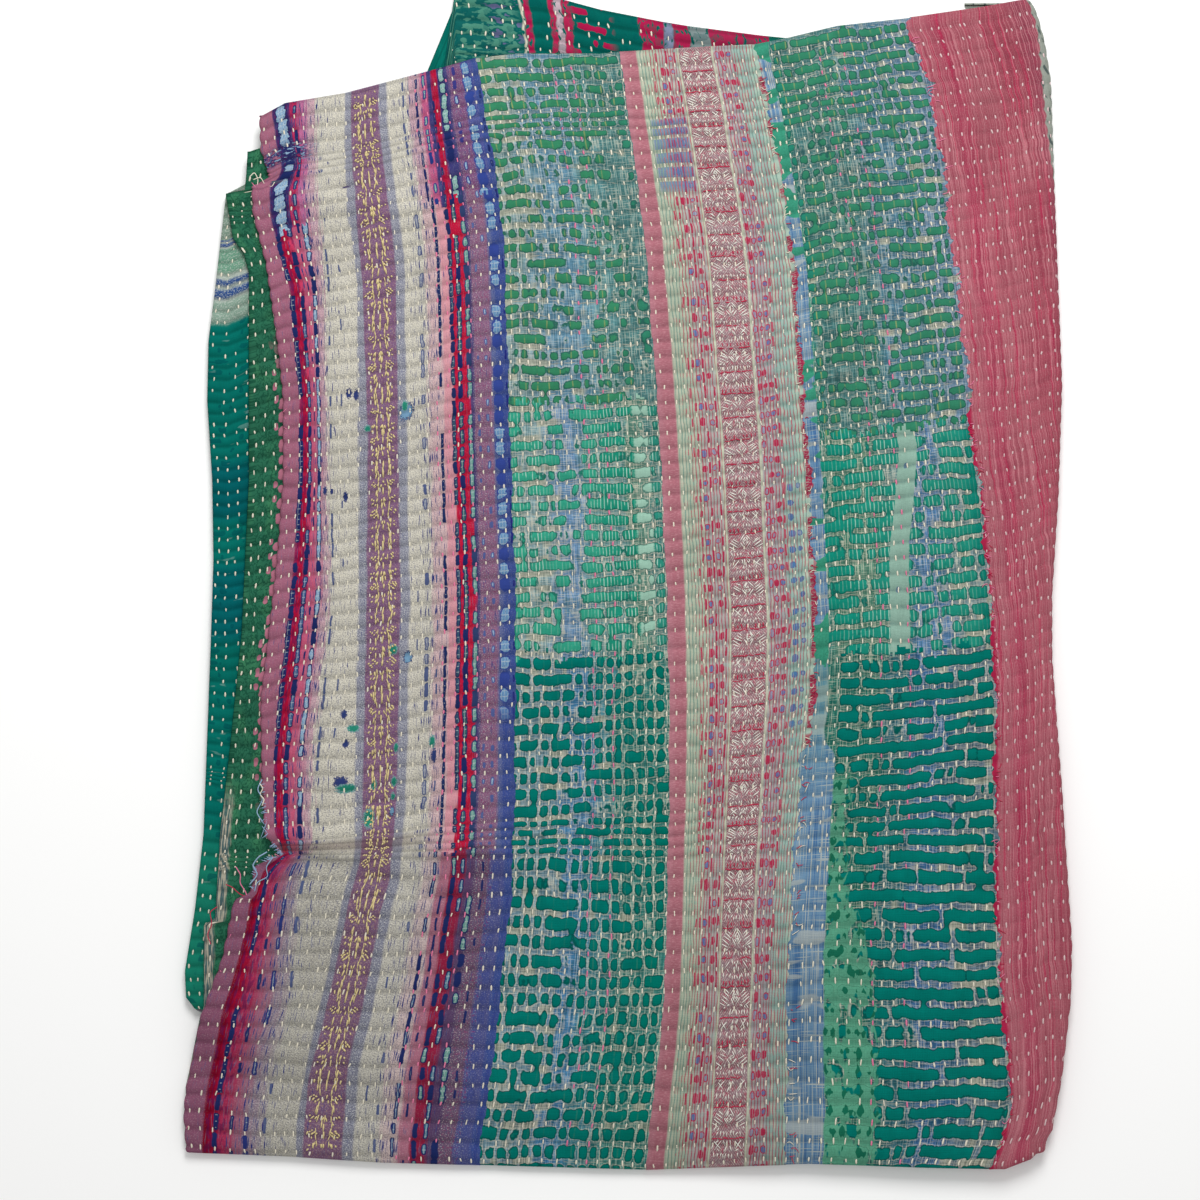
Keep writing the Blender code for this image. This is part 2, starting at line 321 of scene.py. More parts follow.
def way_down(row, share):
    """A stitch row's share of the way down its leaf."""
    rows, at_left, at_right = np.array(ROW_HEIGHTS).T
    left = np.interp(row, rows, at_left)
    return left + (np.interp(row, rows, at_right) - left) * share


def seam_x(across, y):
    """The x of a point that lay so many mm across the flat cloth, at the height y."""
    lines = [np.interp(y, HEIGHTS * MM, line * MM) for line in SEAMS] + [fold_axis(y)]
    x = lines[0]
    for n in range(len(SEAM_ACROSS) - 1):
        step = SEAM_ACROSS[n + 1] - SEAM_ACROSS[n]
        share = np.clip((across - SEAM_ACROSS[n]) / step, 0, 1)
        x = x + (lines[n + 1] - lines[n]) * share
    return x


def plan(row, turned, folded, across=None, share=None):
    """The place in plan of a point: across the flat cloth in mm, or by its share of its run."""
    shares = leaf_shares(turned, folded)
    y = TOP_GUESS - HEIGHT_GUESS * row / STITCH_ROWS
    for _ in range(PASSES):
        left = sum(part * read(LEFT_EDGE[leaf], y) for leaf, part in shares.items())
        axis = fold_axis(y)
        x = left + (axis - left) * share if across is None else seam_x(across, y)
        top = sum(part * read(TOP_EDGE[leaf], x) for leaf, part in shares.items())
        low = turned * read(BOTTOM_FOLD["upper"], x) + (1 - turned) * read(BOTTOM_FOLD["lower"], x)
        low = low + LEAF_PITCH / 2 + CLOTH / 2
        y = top + (low - top) * way_down(row, (x - left) / (axis - left))
    return x, y


def creases(x, y, table):
    """The rise of the top pair over a table's creases."""
    rise = np.zeros(np.broadcast(x, y).shape)
    for _name, start, end, half, height, back in table:
        start, end = np.array(start) * MM, np.array(end) * MM
        run = end - start
        length = math.hypot(*run)
        along = ((x - start[0]) * run[0] + (y - start[1]) * run[1]) / length
        beside = ((y - start[1]) * run[0] - (x - start[0]) * run[1]) / length
        past = np.maximum(np.maximum(-along, along - length), 0)
        width = np.where(beside > 0, back, half) * MM
        rise += height * MM * np.exp(-((beside / width) ** 2) - (past / CREASE_END) ** 2)
    return rise


def settled(x, y):
    """How far the top pair has sunk where it runs out over the lower pair's bottom fold."""
    past = np.clip((read(BOTTOM_FOLD["lower"], x) - y) / SETTLE_OVER, 0, 1)
    return SETTLE * past**2 * (3 - 2 * past)


def lay(x, y, turned, folded, side):
    """Turns a place in plan round the folds. side is measured from the cloth's middle, outwards on
    leaf 1."""
    turn, hem = np.pi * turned, np.pi * folded
    reach = TURN_RADIUS + (LEAF_PITCH / 2 + side) * np.cos(hem)
    shares = leaf_shares(turned, folded)
    lift = sum(LIFT[leaf] * part for leaf, part in shares.items()) * creases(x, y, CREASES)
    lift = lift + shares[1] * creases(x, y, FINE_CREASES)
    lift = lift - (shares[1] + shares[2]) * settled(x, y)
    points = (
        x + reach * np.sin(turn),
        y - (LEAF_PITCH / 2 + side) * np.sin(hem),
        STACK_MIDDLE - reach * np.cos(turn) + lift,
    )
    return np.stack(np.broadcast_arrays(*points), axis=-1)


print("the fold's axis lies at x =", round(float(fold_axis(0)) / MM), "mm, halfway down")

# %% [markdown]
# ## The sewing grid
#
# Every stitch was set by hand, so the rows wander a little and the lines of stitching are not evenly
# apart. The wander is worked out once, here, because three things have to agree on it: the ribs in
# the cloth, the stitches that lie in the troughs, and the worn windows between them.

# %% Rows and lines of stitching
sewing = np.random.default_rng(11)
LINE_GAP = 8.4  # mm between two lines of stitching, on the whole
FIRST_LINE = 3.2  # mm in from the leaf's edge
LINE_COUNT = 86
LINES_AT = FIRST_LINE + np.append(0, np.cumsum(LINE_GAP * (0.82 + 0.36 * sewing.random(LINE_COUNT - 1))))
PINK_FROM = 568.8  # mm across, where the pink panel begins


def pink_width():
    """How wide the pink panel lies at each row, against its share of the flat cloth. It widens to the
    top, where the fold runs away from the seam."""
    rows = np.arange(0, STITCH_ROWS + 1)
    ends = [plan(rows, 1, 0, across=np.full(len(rows), across)) for across in (PINK_FROM, FOLD_AT)]
    return np.hypot(ends[1][0] - ends[0][0], ends[1][1] - ends[0][1]) / MM / (FOLD_AT - PINK_FROM)


PINK_WIDTH = pink_width()
print("the pink panel lies", PINK_WIDTH.min().round(2), "to", PINK_WIDTH.max().round(2), "times as wide")


def measured(across, row):
    """mm across as a tape would give them: the pink panel's own width is counted in full."""
    spread = np.interp(row, np.arange(STITCH_ROWS + 1), PINK_WIDTH) - 1
    return across + spread * (np.clip(across, PINK_FROM, FOLD_AT) - PINK_FROM)


def drift(across, row):
    """How far the lines of stitching lie out of true, in mm."""
    return 1.1 * np.sin(0.21 * row + 0.013 * across) + 0.6 * np.sin(0.53 * row + 1.7 + 0.03 * across)


def slip(across, row):
    """How far the rows lie out of true, in rows."""
    return 0.07 * np.sin(0.045 * across + 0.3 * row) + 0.05 * np.sin(0.11 * across + 0.7 * row + 2)


def line_number(across, row):
    return np.interp(measured(across, row) + drift(across, row), LINES_AT, np.arange(LINE_COUNT))


def row_number(across, row):
    return row + slip(across, row)


TUCKED_ROWS = ((4.2, 7.4), (51.4, 54.8))  # rows drawn together in the two tucks at the left
TUCKED_ACROSS = (95, 165)  # mm from the edge, over which the tucks run out


def tucked(across, row):
    """1 where the rows are drawn together in a tuck, and 0 where they lie flat."""
    near_edge = np.clip((TUCKED_ACROSS[1] - across) / (TUCKED_ACROSS[1] - TUCKED_ACROSS[0]), 0, 1)
    return near_edge * sum(np.clip(row - a + 1, 0, 1) * np.clip(b + 1 - row, 0, 1) for a, b in TUCKED_ROWS)


PUFF = 0.8 * MM  # how far the cloth swells between two rows of stitches, and sinks at them
PINK_PUFF = 0.5  # the pink panel's share of both
PINK_BLEND = (566, 574)  # mm across, over which the puffs become the pink panel's
PUCKER = 0.4 * MM  # how much deeper the trough is at a stitch than between two


def swell(across, row):
    """The cloth's rise between the rows, with a tuck where each stitch pulls it down."""
    between_rows = np.abs(np.sin(np.pi * row_number(across, row)))
    between_lines = np.abs(np.sin(np.pi * line_number(across, row)))
    near_row = np.exp(-((between_rows / 0.5) ** 2))
    loose = (1 - 0.7 * tucked(across, row)) * np.interp(across, PINK_BLEND, (1, PINK_PUFF))
    return loose * (PUFF * (2 * between_rows**0.8 - 1) + PUCKER * near_row * (between_lines - 0.6))


print(LINE_COUNT, "lines of stitching over", round(LINES_AT[-1]), "mm")

# %% [markdown]
# ## Two ways of making a mesh
#
# A woven surface is a lattice of points with a face between each four. A thread is a chain of small
# rings along a path. Blender can make both from modifiers, but thousands of stitches are far quicker
# as one array: all their rings are worked out together, and one mesh takes them.

# %% Lattices and threads
def new_mesh(name, points, corners, maps, material):
    """A smooth mesh of faces with the same number of corners each, and its UV maps."""
    mesh = bpy.data.meshes.new(name)
    mesh.vertices.add(len(points))
    mesh.vertices.foreach_set("co", np.ascontiguousarray(points, np.float32).ravel())
    mesh.loops.add(corners.size)
    mesh.loops.foreach_set("vertex_index", corners.astype(np.int32).ravel())
    mesh.polygons.add(len(corners))
    mesh.polygons.foreach_set("loop_start", np.arange(0, corners.size, corners.shape[1], dtype=np.int32))
    mesh.update(calc_edges=True)
    for map_name, values in maps.items():
        layer = mesh.uv_layers.new(name=map_name)
        layer.uv.foreach_set("vector", values[corners.ravel()].astype(np.float32).ravel())
    mesh.shade_smooth()
    mesh.materials.append(material)
    piece = bpy.data.objects.new(name, mesh)
    bpy.context.scene.collection.objects.link(piece)
    return piece


def lattice_corners(rows, columns, first=0):
    """Quads between a lattice's points, facing up where rows run down and columns to the right."""
    index = first + np.arange(rows * columns).reshape(rows, columns)
    return np.stack([index[:-1, :-1], index[1:, :-1], index[1:, 1:], index[:-1, 1:]], -1).reshape(-1, 4)


def woven(name, points, maps, material):
    rows, columns = points.shape[:2]
    flat_maps = {key: values.reshape(-1, 2) for key, values in maps.items()}
    return new_mesh(name, points.reshape(-1, 3), lattice_corners(rows, columns), flat_maps, material)


def threads(name, paths, radius, sides, material, flatness=1):
    """Many threads as one mesh. paths holds, for each thread, the points along it, and radius its
    thickness at each. sides is even. flatness squeezes it down towards the cloth."""
    along = np.gradient(paths, axis=1)
    along /= np.linalg.norm(along, axis=-1, keepdims=True) + 1e-12
    beside = np.cross(along, (0, 0, 1))
    beside /= np.linalg.norm(beside, axis=-1, keepdims=True) + 1e-12
    above = np.cross(beside, along)
    angle = 2 * np.pi * np.arange(sides) / sides
    ring = np.cos(angle)[:, None] * beside[:, :, None] + flatness * np.sin(angle)[:, None] * above[:, :, None]
    points = paths[:, :, None] + ring * radius[:, :, None, None]
    count, stations = paths.shape[:2]
    index = np.arange(count * stations * sides).reshape(count, stations, sides)
    after = np.roll(index, -1, axis=2)
    walls = np.stack([index[:, :-1], after[:, :-1], after[:, 1:], index[:, 1:]], -1).reshape(-1, 4)
    ends = np.concatenate([index[:, 0, ::-1], index[:, -1]])
    caps = [ends[:, [0, n + 1, n + 2, n + 3]] for n in range(0, sides - 2, 2)]
    corners = np.concatenate([walls, *caps])
    return new_mesh(name, points.reshape(-1, 3), corners, {}, material)


# %% [markdown]
# ## Where the model lies
#
# The tables above are measured from a corner of their own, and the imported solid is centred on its
# box. The difference between the two is one small shift, which everything made here takes.

# %% The shift onto the solid
HEM_RADIUS = CLOTH / 2
DOWN = {"from": -0.34, "to": STITCH_ROWS + 0.75}  # rows, from under the top hem to under the fold
SUNK_BELOW = PUFF + 0.2 * MM  # how much lower the cloth lies under the stack, to stay off the floor
SCALLOP, SCALLOP_REACH = 0.5 * MM, 3  # the left hem's scallops, and how far in they reach, in mm


def hem_roll(across, row):
    """How far a point has rolled round the left and the top hem, as angles, and how much of the cloth's
    own swell is left there."""
    side_roll = np.clip(-across, 0, None) * MM / HEM_RADIUS
    top_roll = np.clip(-row, 0, None) * ROW_PITCH * MM / HEM_RADIUS
    left_over = np.cos(np.clip(side_roll, 0, np.pi / 2)) * np.cos(np.clip(top_roll, 0, np.pi / 2))
    return side_roll, top_roll, left_over


def leaf_one(across, row, proud=0):
    """Points on the face of leaf 1. Across runs on round the right fold onto the underside, and
    below 0 it rolls round the left hem; rows roll round the top hem and the bottom fold."""
    past_turn = np.clip(across - FOLD_AT - TURN_LENGTH, 0, None) * MM
    turned = 1 - np.clip((across - FOLD_AT) / TURN_LENGTH, 0, 1)
    folded = np.clip(row - STITCH_ROWS, 0, 1)
    side_roll, top_roll, on_hem = hem_roll(across, row)
    x, y = plan(np.clip(row, 0, STITCH_ROWS), turned, folded, across=np.clip(across, 0, FOLD_AT))
    rise = swell(across, row) - SUNK_BELOW * (1 - turned)
    side = HEM_RADIUS * np.cos(side_roll) * np.cos(top_roll) + on_hem * (rise + proud)
    scallop = SCALLOP * np.abs(np.sin(np.pi * row_number(across, row))) * np.exp(-across / SCALLOP_REACH)
    x = x - (HEM_RADIUS + proud) * np.sin(side_roll) - scallop - past_turn
    y = y + (HEM_RADIUS + proud) * np.sin(top_roll)
    return lay(x, y, turned, folded, side) + SHIFT


def fold_share(share, row, turned, folded, side, side_roll=0, top_roll=0, radius=HEM_RADIUS):
    """Points anywhere on the sheet, by their share of a run from its left edge to the right fold."""
    x, y = plan(row, turned, folded, share=share)
    x = x - radius * np.sin(side_roll)
    y = y + radius * np.sin(top_roll)
    return lay(x, y, turned, folded, side * np.cos(side_roll) * np.cos(top_roll))


SHIFT = np.zeros(3)
outline_shares = np.linspace(0, 1, 60)
outline_rows = np.linspace(0, STITCH_ROWS, 143)[:, None]
outline = np.concatenate([
    fold_share(*place).reshape(-1, 3) for place in (
        (outline_shares, outline_rows, 0, 1, CLOTH / 2),  # leaf 3
        (outline_shares, outline_rows, 1, 0, CLOTH / 2),  # leaf 1
        (1, outline_rows, 0.5, 0, CLOTH / 2 + RIB_RISE),  # outermost on the right fold
        (outline_shares, STITCH_ROWS, 1, 0.5, CLOTH / 2),  # lowest on the bottom fold
    )
])
low, high = (np.array(corner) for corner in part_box("quilt"))
middle = (outline.min(axis=0) + outline.max(axis=0)) / 2
SHIFT = np.array([*((low + high) / 2 - middle)[:2], 0])
print("shift in mm:", (SHIFT / MM).round(2))

# %% [markdown]
# ## Colour and wear as nodes
#
# Nothing on this quilt is one flat colour, so every finish is worked out from where a point lies in
# the cloth: so many mm across and down, and so many lines and rows of stitching along. Blender's Math
# nodes can do that, but a formula in nodes is hard to read. A small class lets the formulas be written
# as sums, and places the nodes itself. It also keeps the tree that is being built, so that no formula
# has to name it.

# %% Small tools for node trees
MIX_FIRST, MIX_SECOND, MIX_OUT = 6, 7, 2  # where a Mix node keeps its colours


def dye(red, green, blue):
    """A colour as the eye sees it, from 0 to 255, in Blender's linear values."""
    shares = [value / 255 for value in (red, green, blue)]
    return (*[s / 12.92 if s <= 0.04045 else ((s + 0.055) / 1.055) ** 2.4 for s in shares], 1)


def join(value, socket):
    """Links a socket to another node's output, or sets it to a plain value."""
    value = getattr(value, "socket", value)
    if isinstance(value, bpy.types.NodeSocket):
        Wire.tree.links.new(value, socket)
    elif socket.type == "VECTOR":
        socket.default_value = value[:3]
    else:
        socket.default_value = value


def node(kind, *values, **settings):
    """Places a node, and sets or joins its sockets in their order."""
    made = Wire.tree.nodes.new(kind)
    for key, value in settings.items():
        setattr(made, key, value)
    for socket, value in zip(made.inputs, values):
        join(value, socket)
    return made


class Wire:
    """A value that changes over the cloth. A sum with it places Math nodes."""

    tree = None  # the node tree that is being built

    def __init__(self, socket):
        self.socket = socket

    def math(self, operation, *others):
        return placed("ShaderNodeMath", self, *others, operation=operation)

    def __rsub__(self, other):
        return self.math("MULTIPLY", -1).math("ADD", other)


# Each sign or word, and the operation of the Math node that it places.
OPERATIONS = {
    "__add__": "ADD", "__radd__": "ADD", "__sub__": "SUBTRACT", "__mul__": "MULTIPLY",
    "__rmul__": "MULTIPLY", "__truediv__": "DIVIDE", "size": "ABSOLUTE", "least": "MINIMUM",
    "most": "MAXIMUM", "floor": "FLOOR", "nearest": "ROUND", "over": "GREATER_THAN",
}
for word, its_operation in OPERATIONS.items():
    setattr(Wire, word, partialmethod(Wire.math, its_operation))


def placed(kind, *values, **settings):
    """Places a node, and gives its first output."""
    return Wire(node(kind, *values, **settings).outputs[0])


def spot(x, y, z):
    return placed("ShaderNodeCombineXYZ", x, y, z)


def noise(x, y, seed, detail=2):
    """A soft random value, about 0.5, that changes over a distance of 1 in x and in y."""
    made = node("ShaderNodeTexNoise")
    join(spot(x, y, seed), made.inputs["Vector"])
    made.inputs["Scale"].default_value = 1
    made.inputs["Detail"].default_value = detail
    return Wire(made.outputs[0])


def waver(x, y, seed, width):
    """A soft random value about 0, half of the width to either side at most."""
    return (noise(x, y, seed) - 0.5) * width


def chance(x, y, seed):
    """A random value from 0 to 1 that is another one at each place."""
    return placed("ShaderNodeTexWhiteNoise", spot(x, y, seed), noise_dimensions="3D")


def ease(value, start, end):
    """0 before start, 1 past end, and smooth between."""
    return placed("ShaderNodeMapRange", value, start, end, interpolation_type="SMOOTHSTEP")


def between(value, start, end, soft):
    """1 from start to end, and 0 outside, with soft borders."""
    return ease(value, start - soft, start + soft) * ease(value, end + soft, end - soft)


def cover(share, below, above):
    """A colour laid over another, in the share given."""
    made = node("ShaderNodeMix", share, data_type="RGBA")
    join(below, made.inputs[MIX_FIRST])
    join(above, made.inputs[MIX_SECOND])
    return Wire(made.outputs[MIX_OUT])


def tone(colour, strength):
    """A colour made darker or lighter."""
    made = node("ShaderNodeVectorMath", colour, operation="SCALE")
    join(strength, made.inputs["Scale"])
    return Wire(made.outputs[0])


def distance(across, down):
    return (across * across + down * down).math("SQRT")


def off_row(row):
    """0 at a row of stitches, and 1 midway between two."""
    return (row * math.pi).math("SINE").size()


def effect(name, takes, gives):
    """Makes a shader node group from the function under it. takes names its inputs and their first
    values, and gives its outputs, which are numbers unless their names end in colour."""

    def kind_of(label):
        return "NodeSocketColor" if label.endswith("colour") else "NodeSocketFloat"

    def build(recipe):
        tree = Wire.tree = bpy.data.node_groups.new(name, "ShaderNodeTree")
        for label, value in takes.items():
            socket = tree.interface.new_socket(label, in_out="INPUT", socket_type=kind_of(label))
            socket.default_value = value
        for label in gives:
            tree.interface.new_socket(label, in_out="OUTPUT", socket_type=kind_of(label))
        entrance = tree.nodes.new("NodeGroupInput")
        results = recipe(*[Wire(socket) for socket in list(entrance.outputs)[: len(takes)]])
        leaving = tree.nodes.new("NodeGroupOutput")
        for result, socket in zip(results, leaving.inputs):
            join(result, socket)
        print(f"effect {name!r}: {len(tree.nodes)} nodes")
        return tree

    return build


def use(group, *values):
    """Places a node group and gives its outputs."""
    made = node("ShaderNodeGroup", *values, node_tree=group)
    return [Wire(socket) for socket in made.outputs]


# %% [markdown]
# ## Worn windows
#
# Between the rows of stitching the top cloth has rubbed away, and what is left is a net: bars of gauze
# along the rows, and a few threads across them at the lines of stitching. A noise texture can't make
# that, because the net is tied to the sewing grid. So the distance to the nearest bar and the nearest
# thread is worked out, as if each were a short round stroke. A random draw for each stroke says
# whether it is still there, and a soft minimum rounds the windows' corners.

# %% The net and its windows
FAR = 50  # mm, farther than any window is wide
CORNER, END_CORNER = 4.6, 3.6  # mm, over which a window's corners and the worn part's ends are rounded
STAYS_WHOLE, WEAR_SLOPE = 0.66, 28  # what unworn has to pass, and mm of window for each 1 below it


@effect(
    "worn windows",
    {"Line": 0, "Row": 0, "Bar": 2.6, "Thread": 1.2, "Bars kept": 0.95, "Threads kept": 0.6,
     "Whole": 0.2, "From edge": 50, "Seed": 0},
    ["Window", "Edge", "Rim shade"],
)
def worn_windows(line, row, bar, thread, bars_kept, threads_kept, whole, from_edge, seed):
    wavy = waver(line * 2, row * 2.8, seed + 12, 2.6)
    line = line + waver(line * 0.8, row * 0.9, seed, 0.5)
    row = row + waver(line * 0.7, row * 0.6, seed + 9, 0.42)
    cell, band = line.floor(), row.floor()
    near_row, near_line = row.nearest(), line.nearest()
    from_row = (row - near_row).size() * ROW_PITCH
    from_line = (line - near_line).size() * LINE_GAP
    right, down = (line - cell) * LINE_GAP, (row - band) * ROW_PITCH

    def nearest_stroke(place, gaps, off, kept):
        """The distance to the nearest of three strokes that is still there."""
        nearest = None
        for step, gap in zip((-1, 0, 1), gaps):
            lost = chance(*place(step), seed).over(kept) * FAR
            reach = distance(gap, off) + lost
            nearest = reach if nearest is None else nearest.least(reach)
        return nearest

    gaps = (right, right * 0, LINE_GAP - right)
    bars = nearest_stroke(lambda step: (cell + step, near_row), gaps, from_row, bars_kept)
    gaps = (down, down * 0, ROW_PITCH - down)
    strands = nearest_stroke(lambda step: (near_line + 0.5, band + step), gaps, from_line, threads_kept)
    uneven = 0.55 + 0.9 * noise(line * 1.7, row * 1.3, seed + 3)
    net = (bars - bar * uneven).math("SMOOTH_MIN", strands - thread * uneven, CORNER)
    unworn = noise(line * 0.5, band * 1.37, seed + 6) + 0.45 * whole
    ends = from_edge.least((STAYS_WHOLE - unworn) * WEAR_SLOPE)
    net = net.math("SMOOTH_MIN", ends, END_CORNER) + wavy
    window = ease(net, -0.15, 0.25)
    edge = 1 - ease((net + 0.5).size(), 0.15, 0.5)
    # Rim: a thin band just inside each window's border, where painted shade goes.
    rim = 1 - ease((net - 0.3).size(), 0.1, 0.5)
    return window, edge, rim


# %% [markdown]
# ## Dashes, pinstripes, strands, plaid, yarn, and shade and age
#
# The other effects are simpler. A dash is one small hole on the swell between two rows, where a dark
# thread or the next cloth shows. Pinstripes are single pale warp threads, and strands are a worn warp
# with gaps between its threads. Plaid has pale and dark lines both ways. Yarn gives the weave. Shade
# and age darkens the troughs with painted shade and with the dirt that gathers there, so the swells
# stay paler, and it tones the cloth in patches. Each could be drawn anew in every cloth, but as a node
# group it is made once and only its numbers differ.

# %% Six smaller effects
@effect(
    "worn dash",
    {"From centre": 0, "Row": 0, "Half width": 1.5, "Half length": 0.25, "Kept": 0.8, "Seed": 0},
    ["Dash", "Core"],
)
def worn_dash(from_centre, row, half_width, half_length, kept, seed):
    row = row + waver(from_centre * 0.1, row * 0.7, seed, 0.3)
    band = row.floor()
    luck = chance(band, seed, 1.5)
    sway = waver(row * 1.1, seed, 5, 2.4)
    above = (row - band - 0.5).size()
    above = (above - half_length * (0.6 + 0.8 * chance(band, seed, 7.5))).most(0)
    reach = distance(from_centre + sway, above * ROW_PITCH)
    reach = reach - half_width * (0.35 + 1.3 * noise(row * 2.9, seed + from_centre * 0.15, 2))
    shown = 1 - luck.over(kept)
    filled = shown * (1 - chance(band, seed, 3.5).over(0.68))
    return ease(reach, 0.35, -0.3) * shown, ease(reach, -0.65, -1.1) * filled


@effect("pinstripes", {"Across": 0, "Row": 0, "Pitch": 3.4, "Width": 0.3, "Seed": 0}, ["Stripe"])
def pinstripes(across, row, pitch, width, seed):
    sway = waver(across * 0.12, row * 0.8, seed, 2.2)
    place = (across + sway) / pitch
    which = place.floor()
    off = (place - which - 0.5).size()
    shown = 0.35 + 0.65 * chance(which, seed, 0.5)
    broken = ease(noise(which * 3.7, row * 1.4, seed + 2), 0.36, 0.5)
    return [(1 - ease(off, width * 0.35, width * 0.75)) * shown * broken]


@effect("strands", {"Across": 0, "Row": 0, "Pitch": 2.6, "Seed": 0}, ["Gap", "Pick", "Length"])
def strands(across, row, pitch, seed):
    sway = waver(across * 0.15, row * 0.9, seed, 3)
    place = (across + sway) / pitch
    which = place.floor()
    gap = ease((place - which - 0.5).size(), 0.26, 0.44)
    return gap, chance(which, seed, 0.5), noise(which * 5.3, row * 1.5, seed + 2)


@effect("plaid", {"Across": 0, "Down": 0, "Row": 0, "Seed": 0}, ["White", "Dark"])
def plaid_lines(across, down, row, seed):
    warp = noise(across / 0.9, row * 0.12, seed)
    weft = noise(across * 0.03, down, seed + 1)
    bars = noise(across * 0.02, row * 0.8, seed + 2)
    white = ease(warp, 0.56, 0.61).most(ease(weft, 0.6, 0.65)).most(ease(bars, 0.57, 0.6) * 0.8)
    dark = ease(warp, 0.45, 0.38).most(ease(weft, 0.4, 0.34) * 0.7)
    return white, dark


@effect("yarn", {"Across": 0, "Down": 0, "Pitch": 1.1}, ["Weave", "Slub"])
def yarn(across, down, pitch):
    warp = (across * math.pi / pitch).math("SINE").size()
    weft = (down * math.pi / pitch).math("SINE").size()
    check = ((across / pitch).floor() + (down / pitch).floor()).math("PINGPONG", 1)
    weave = warp * check + weft * (1 - check)
    slub = noise(across / 0.9, down / 9, 1) * 0.5 + noise(across / 7, down / 0.9, 4) * 0.5
    return weave, slub


@effect(
    "shade_and_age",
    {"Fresh colour": (0.5, 0.5, 0.5, 1), "Line": 0, "Row": 0, "Trough shade and dirt": 0.3, "Patchy": 0.2},
    ["Aged colour"],
)
def shade_and_age(fresh, line, row, trough, patchy):
    # The troughs are darkened with painted shade and with dirt; patch and mottle are the cloth's own uneven
    # tone.
    rise = off_row(row)
    in_trough = 1 - ease(rise, 0.05, 0.75)
    patch = noise(line * 0.17, row * 0.13, 3, detail=3) - 0.5
    mottle = noise(line * 1.3, row * 1.1, 8) - 0.5
    return [tone(fresh, 1 - trough * in_trough + patchy * patch * 2 + 0.22 * mottle)]


# %% [markdown]
# ## A cloth's shader
#
# Every cloth here ends in the same way: a colour and a height feed one Principled shader. Worn cotton
# has almost no gloss, and a deep teal looks washed out under the least of it, so its roughness is high
# and its specular level is near nothing.

# %% Finish a cloth
MOSTLY_MATT, LESS_MATT = 0.92, 0.72
GLOSS = 0.02
WEAVE_PITCH = 1.1  # mm from one yarn to the next
BUMP_STRENGTH = 0.6


def new_material(name):
    """A material and its shader. From here on, nodes are placed in its tree."""
    material = bpy.data.materials.new(name)
    material.use_nodes = True
    Wire.tree = material.node_tree
    return material, Wire.tree.nodes["Principled BSDF"]


def cloth_maps():
    """mm across and down the flat cloth, and lines and rows of stitching, at each point."""
    flat = node("ShaderNodeSeparateXYZ", node("ShaderNodeUVMap", uv_map="cloth").outputs[0])
    grid = node("ShaderNodeSeparateXYZ", node("ShaderNodeUVMap", uv_map="sewing").outputs[0])
    across, down = (Wire(flat.outputs[n]) * 1000 for n in (0, 1))
    line, row = (Wire(grid.outputs[n]) * 100 for n in (0, 1))
    return across, down, line, row


def fabric(name, paint, trough, patchy):
    """A cloth's material. paint gives its colour and its relief in mm from the cloth's maps, and trough
    says how much painted shade and dirt darken its troughs, and patchy how much age tones it in patches."""
    material, shader = new_material(name)
    across, down, line, row = cloth_maps()
    colour, relief = paint(across, down, line, row)
    weave, slub = use(yarn, across, down, WEAVE_PITCH)
    colour = tone(colour, 0.5 + 0.16 * weave + 0.34 * slub)
    # Painted shade and dirt in the troughs, and patches of age.
    (shaded_and_aged,) = use(shade_and_age, colour, line, row, trough, patchy)
    bump = node("ShaderNodeBump")
    bump.inputs["Strength"].default_value = BUMP_STRENGTH
    bump.inputs["Distance"].default_value = MM
    join(relief + 0.1 * weave + 0.16 * slub, bump.inputs["Height"])
    join(shaded_and_aged, shader.inputs["Base Color"])
    rough = LESS_MATT + (MOSTLY_MATT - LESS_MATT) * ease(slub, 0.3, 0.7)
    join(rough, shader.inputs["Roughness"])
    join(bump.outputs[0], shader.inputs["Normal"])
    shader.inputs["Specular IOR Level"].default_value = GLOSS
    print(f"cloth {name!r}: {len(Wire.tree.nodes)} nodes")
    return material


RAMP_STOPS = 32  # as many as one Color Ramp can hold
BESIDE_COLUMNS = 6  # mm, as far as the outer columns of holes reach


def ramp(place, stops, kind="LINEAR"):
    """A Color Ramp over the cloth. Each stop is (mm, colour)."""
    start, end = stops[0][0], stops[-1][0]
    made = node("ShaderNodeValToRGB", (place - start) / (end - start))
    bar = made.color_ramp
    bar.interpolation = kind
    while len(bar.elements) < len(stops):
        bar.elements.new(1)
    for element, (where, colour) in zip(bar.elements, stops):
        element.position = (where - start) / (end - start)
        element.color = colour
    return Wire(made.outputs[0])


def stripes(place, table):
    """Stripes of colour along the cloth. Each row of the table says where in mm the stripe begins,
    how soft its edge is, and its dye. A long table takes more than one ramp."""
    most = RAMP_STOPS // 2
    colour = None
    for first in range(0, len(table) - 1, most):
        part = table[first : first + most + 1]
        stops = []
        for (_, _, before), (begins, soft, after) in zip(part, part[1:]):
            stops += [(begins - soft, before), (begins + soft, after)]
        piece = ramp(place, stops)
        if colour is None:
            colour = piece
        else:
            begins, soft, _ = part[0]
            colour = cover(ease(place, begins - soft, begins + soft), colour, piece)
    return colour


def level(place, table):
    """A value that changes along the cloth. Each entry of the table is (place, value). A ramp holds
    dyes, which are about 1 at most, so it carries a tenth of the value."""
    greys = [(where, (*[value / 10] * 3, 1)) for where, value in table]
    return ramp(place, greys) * 10


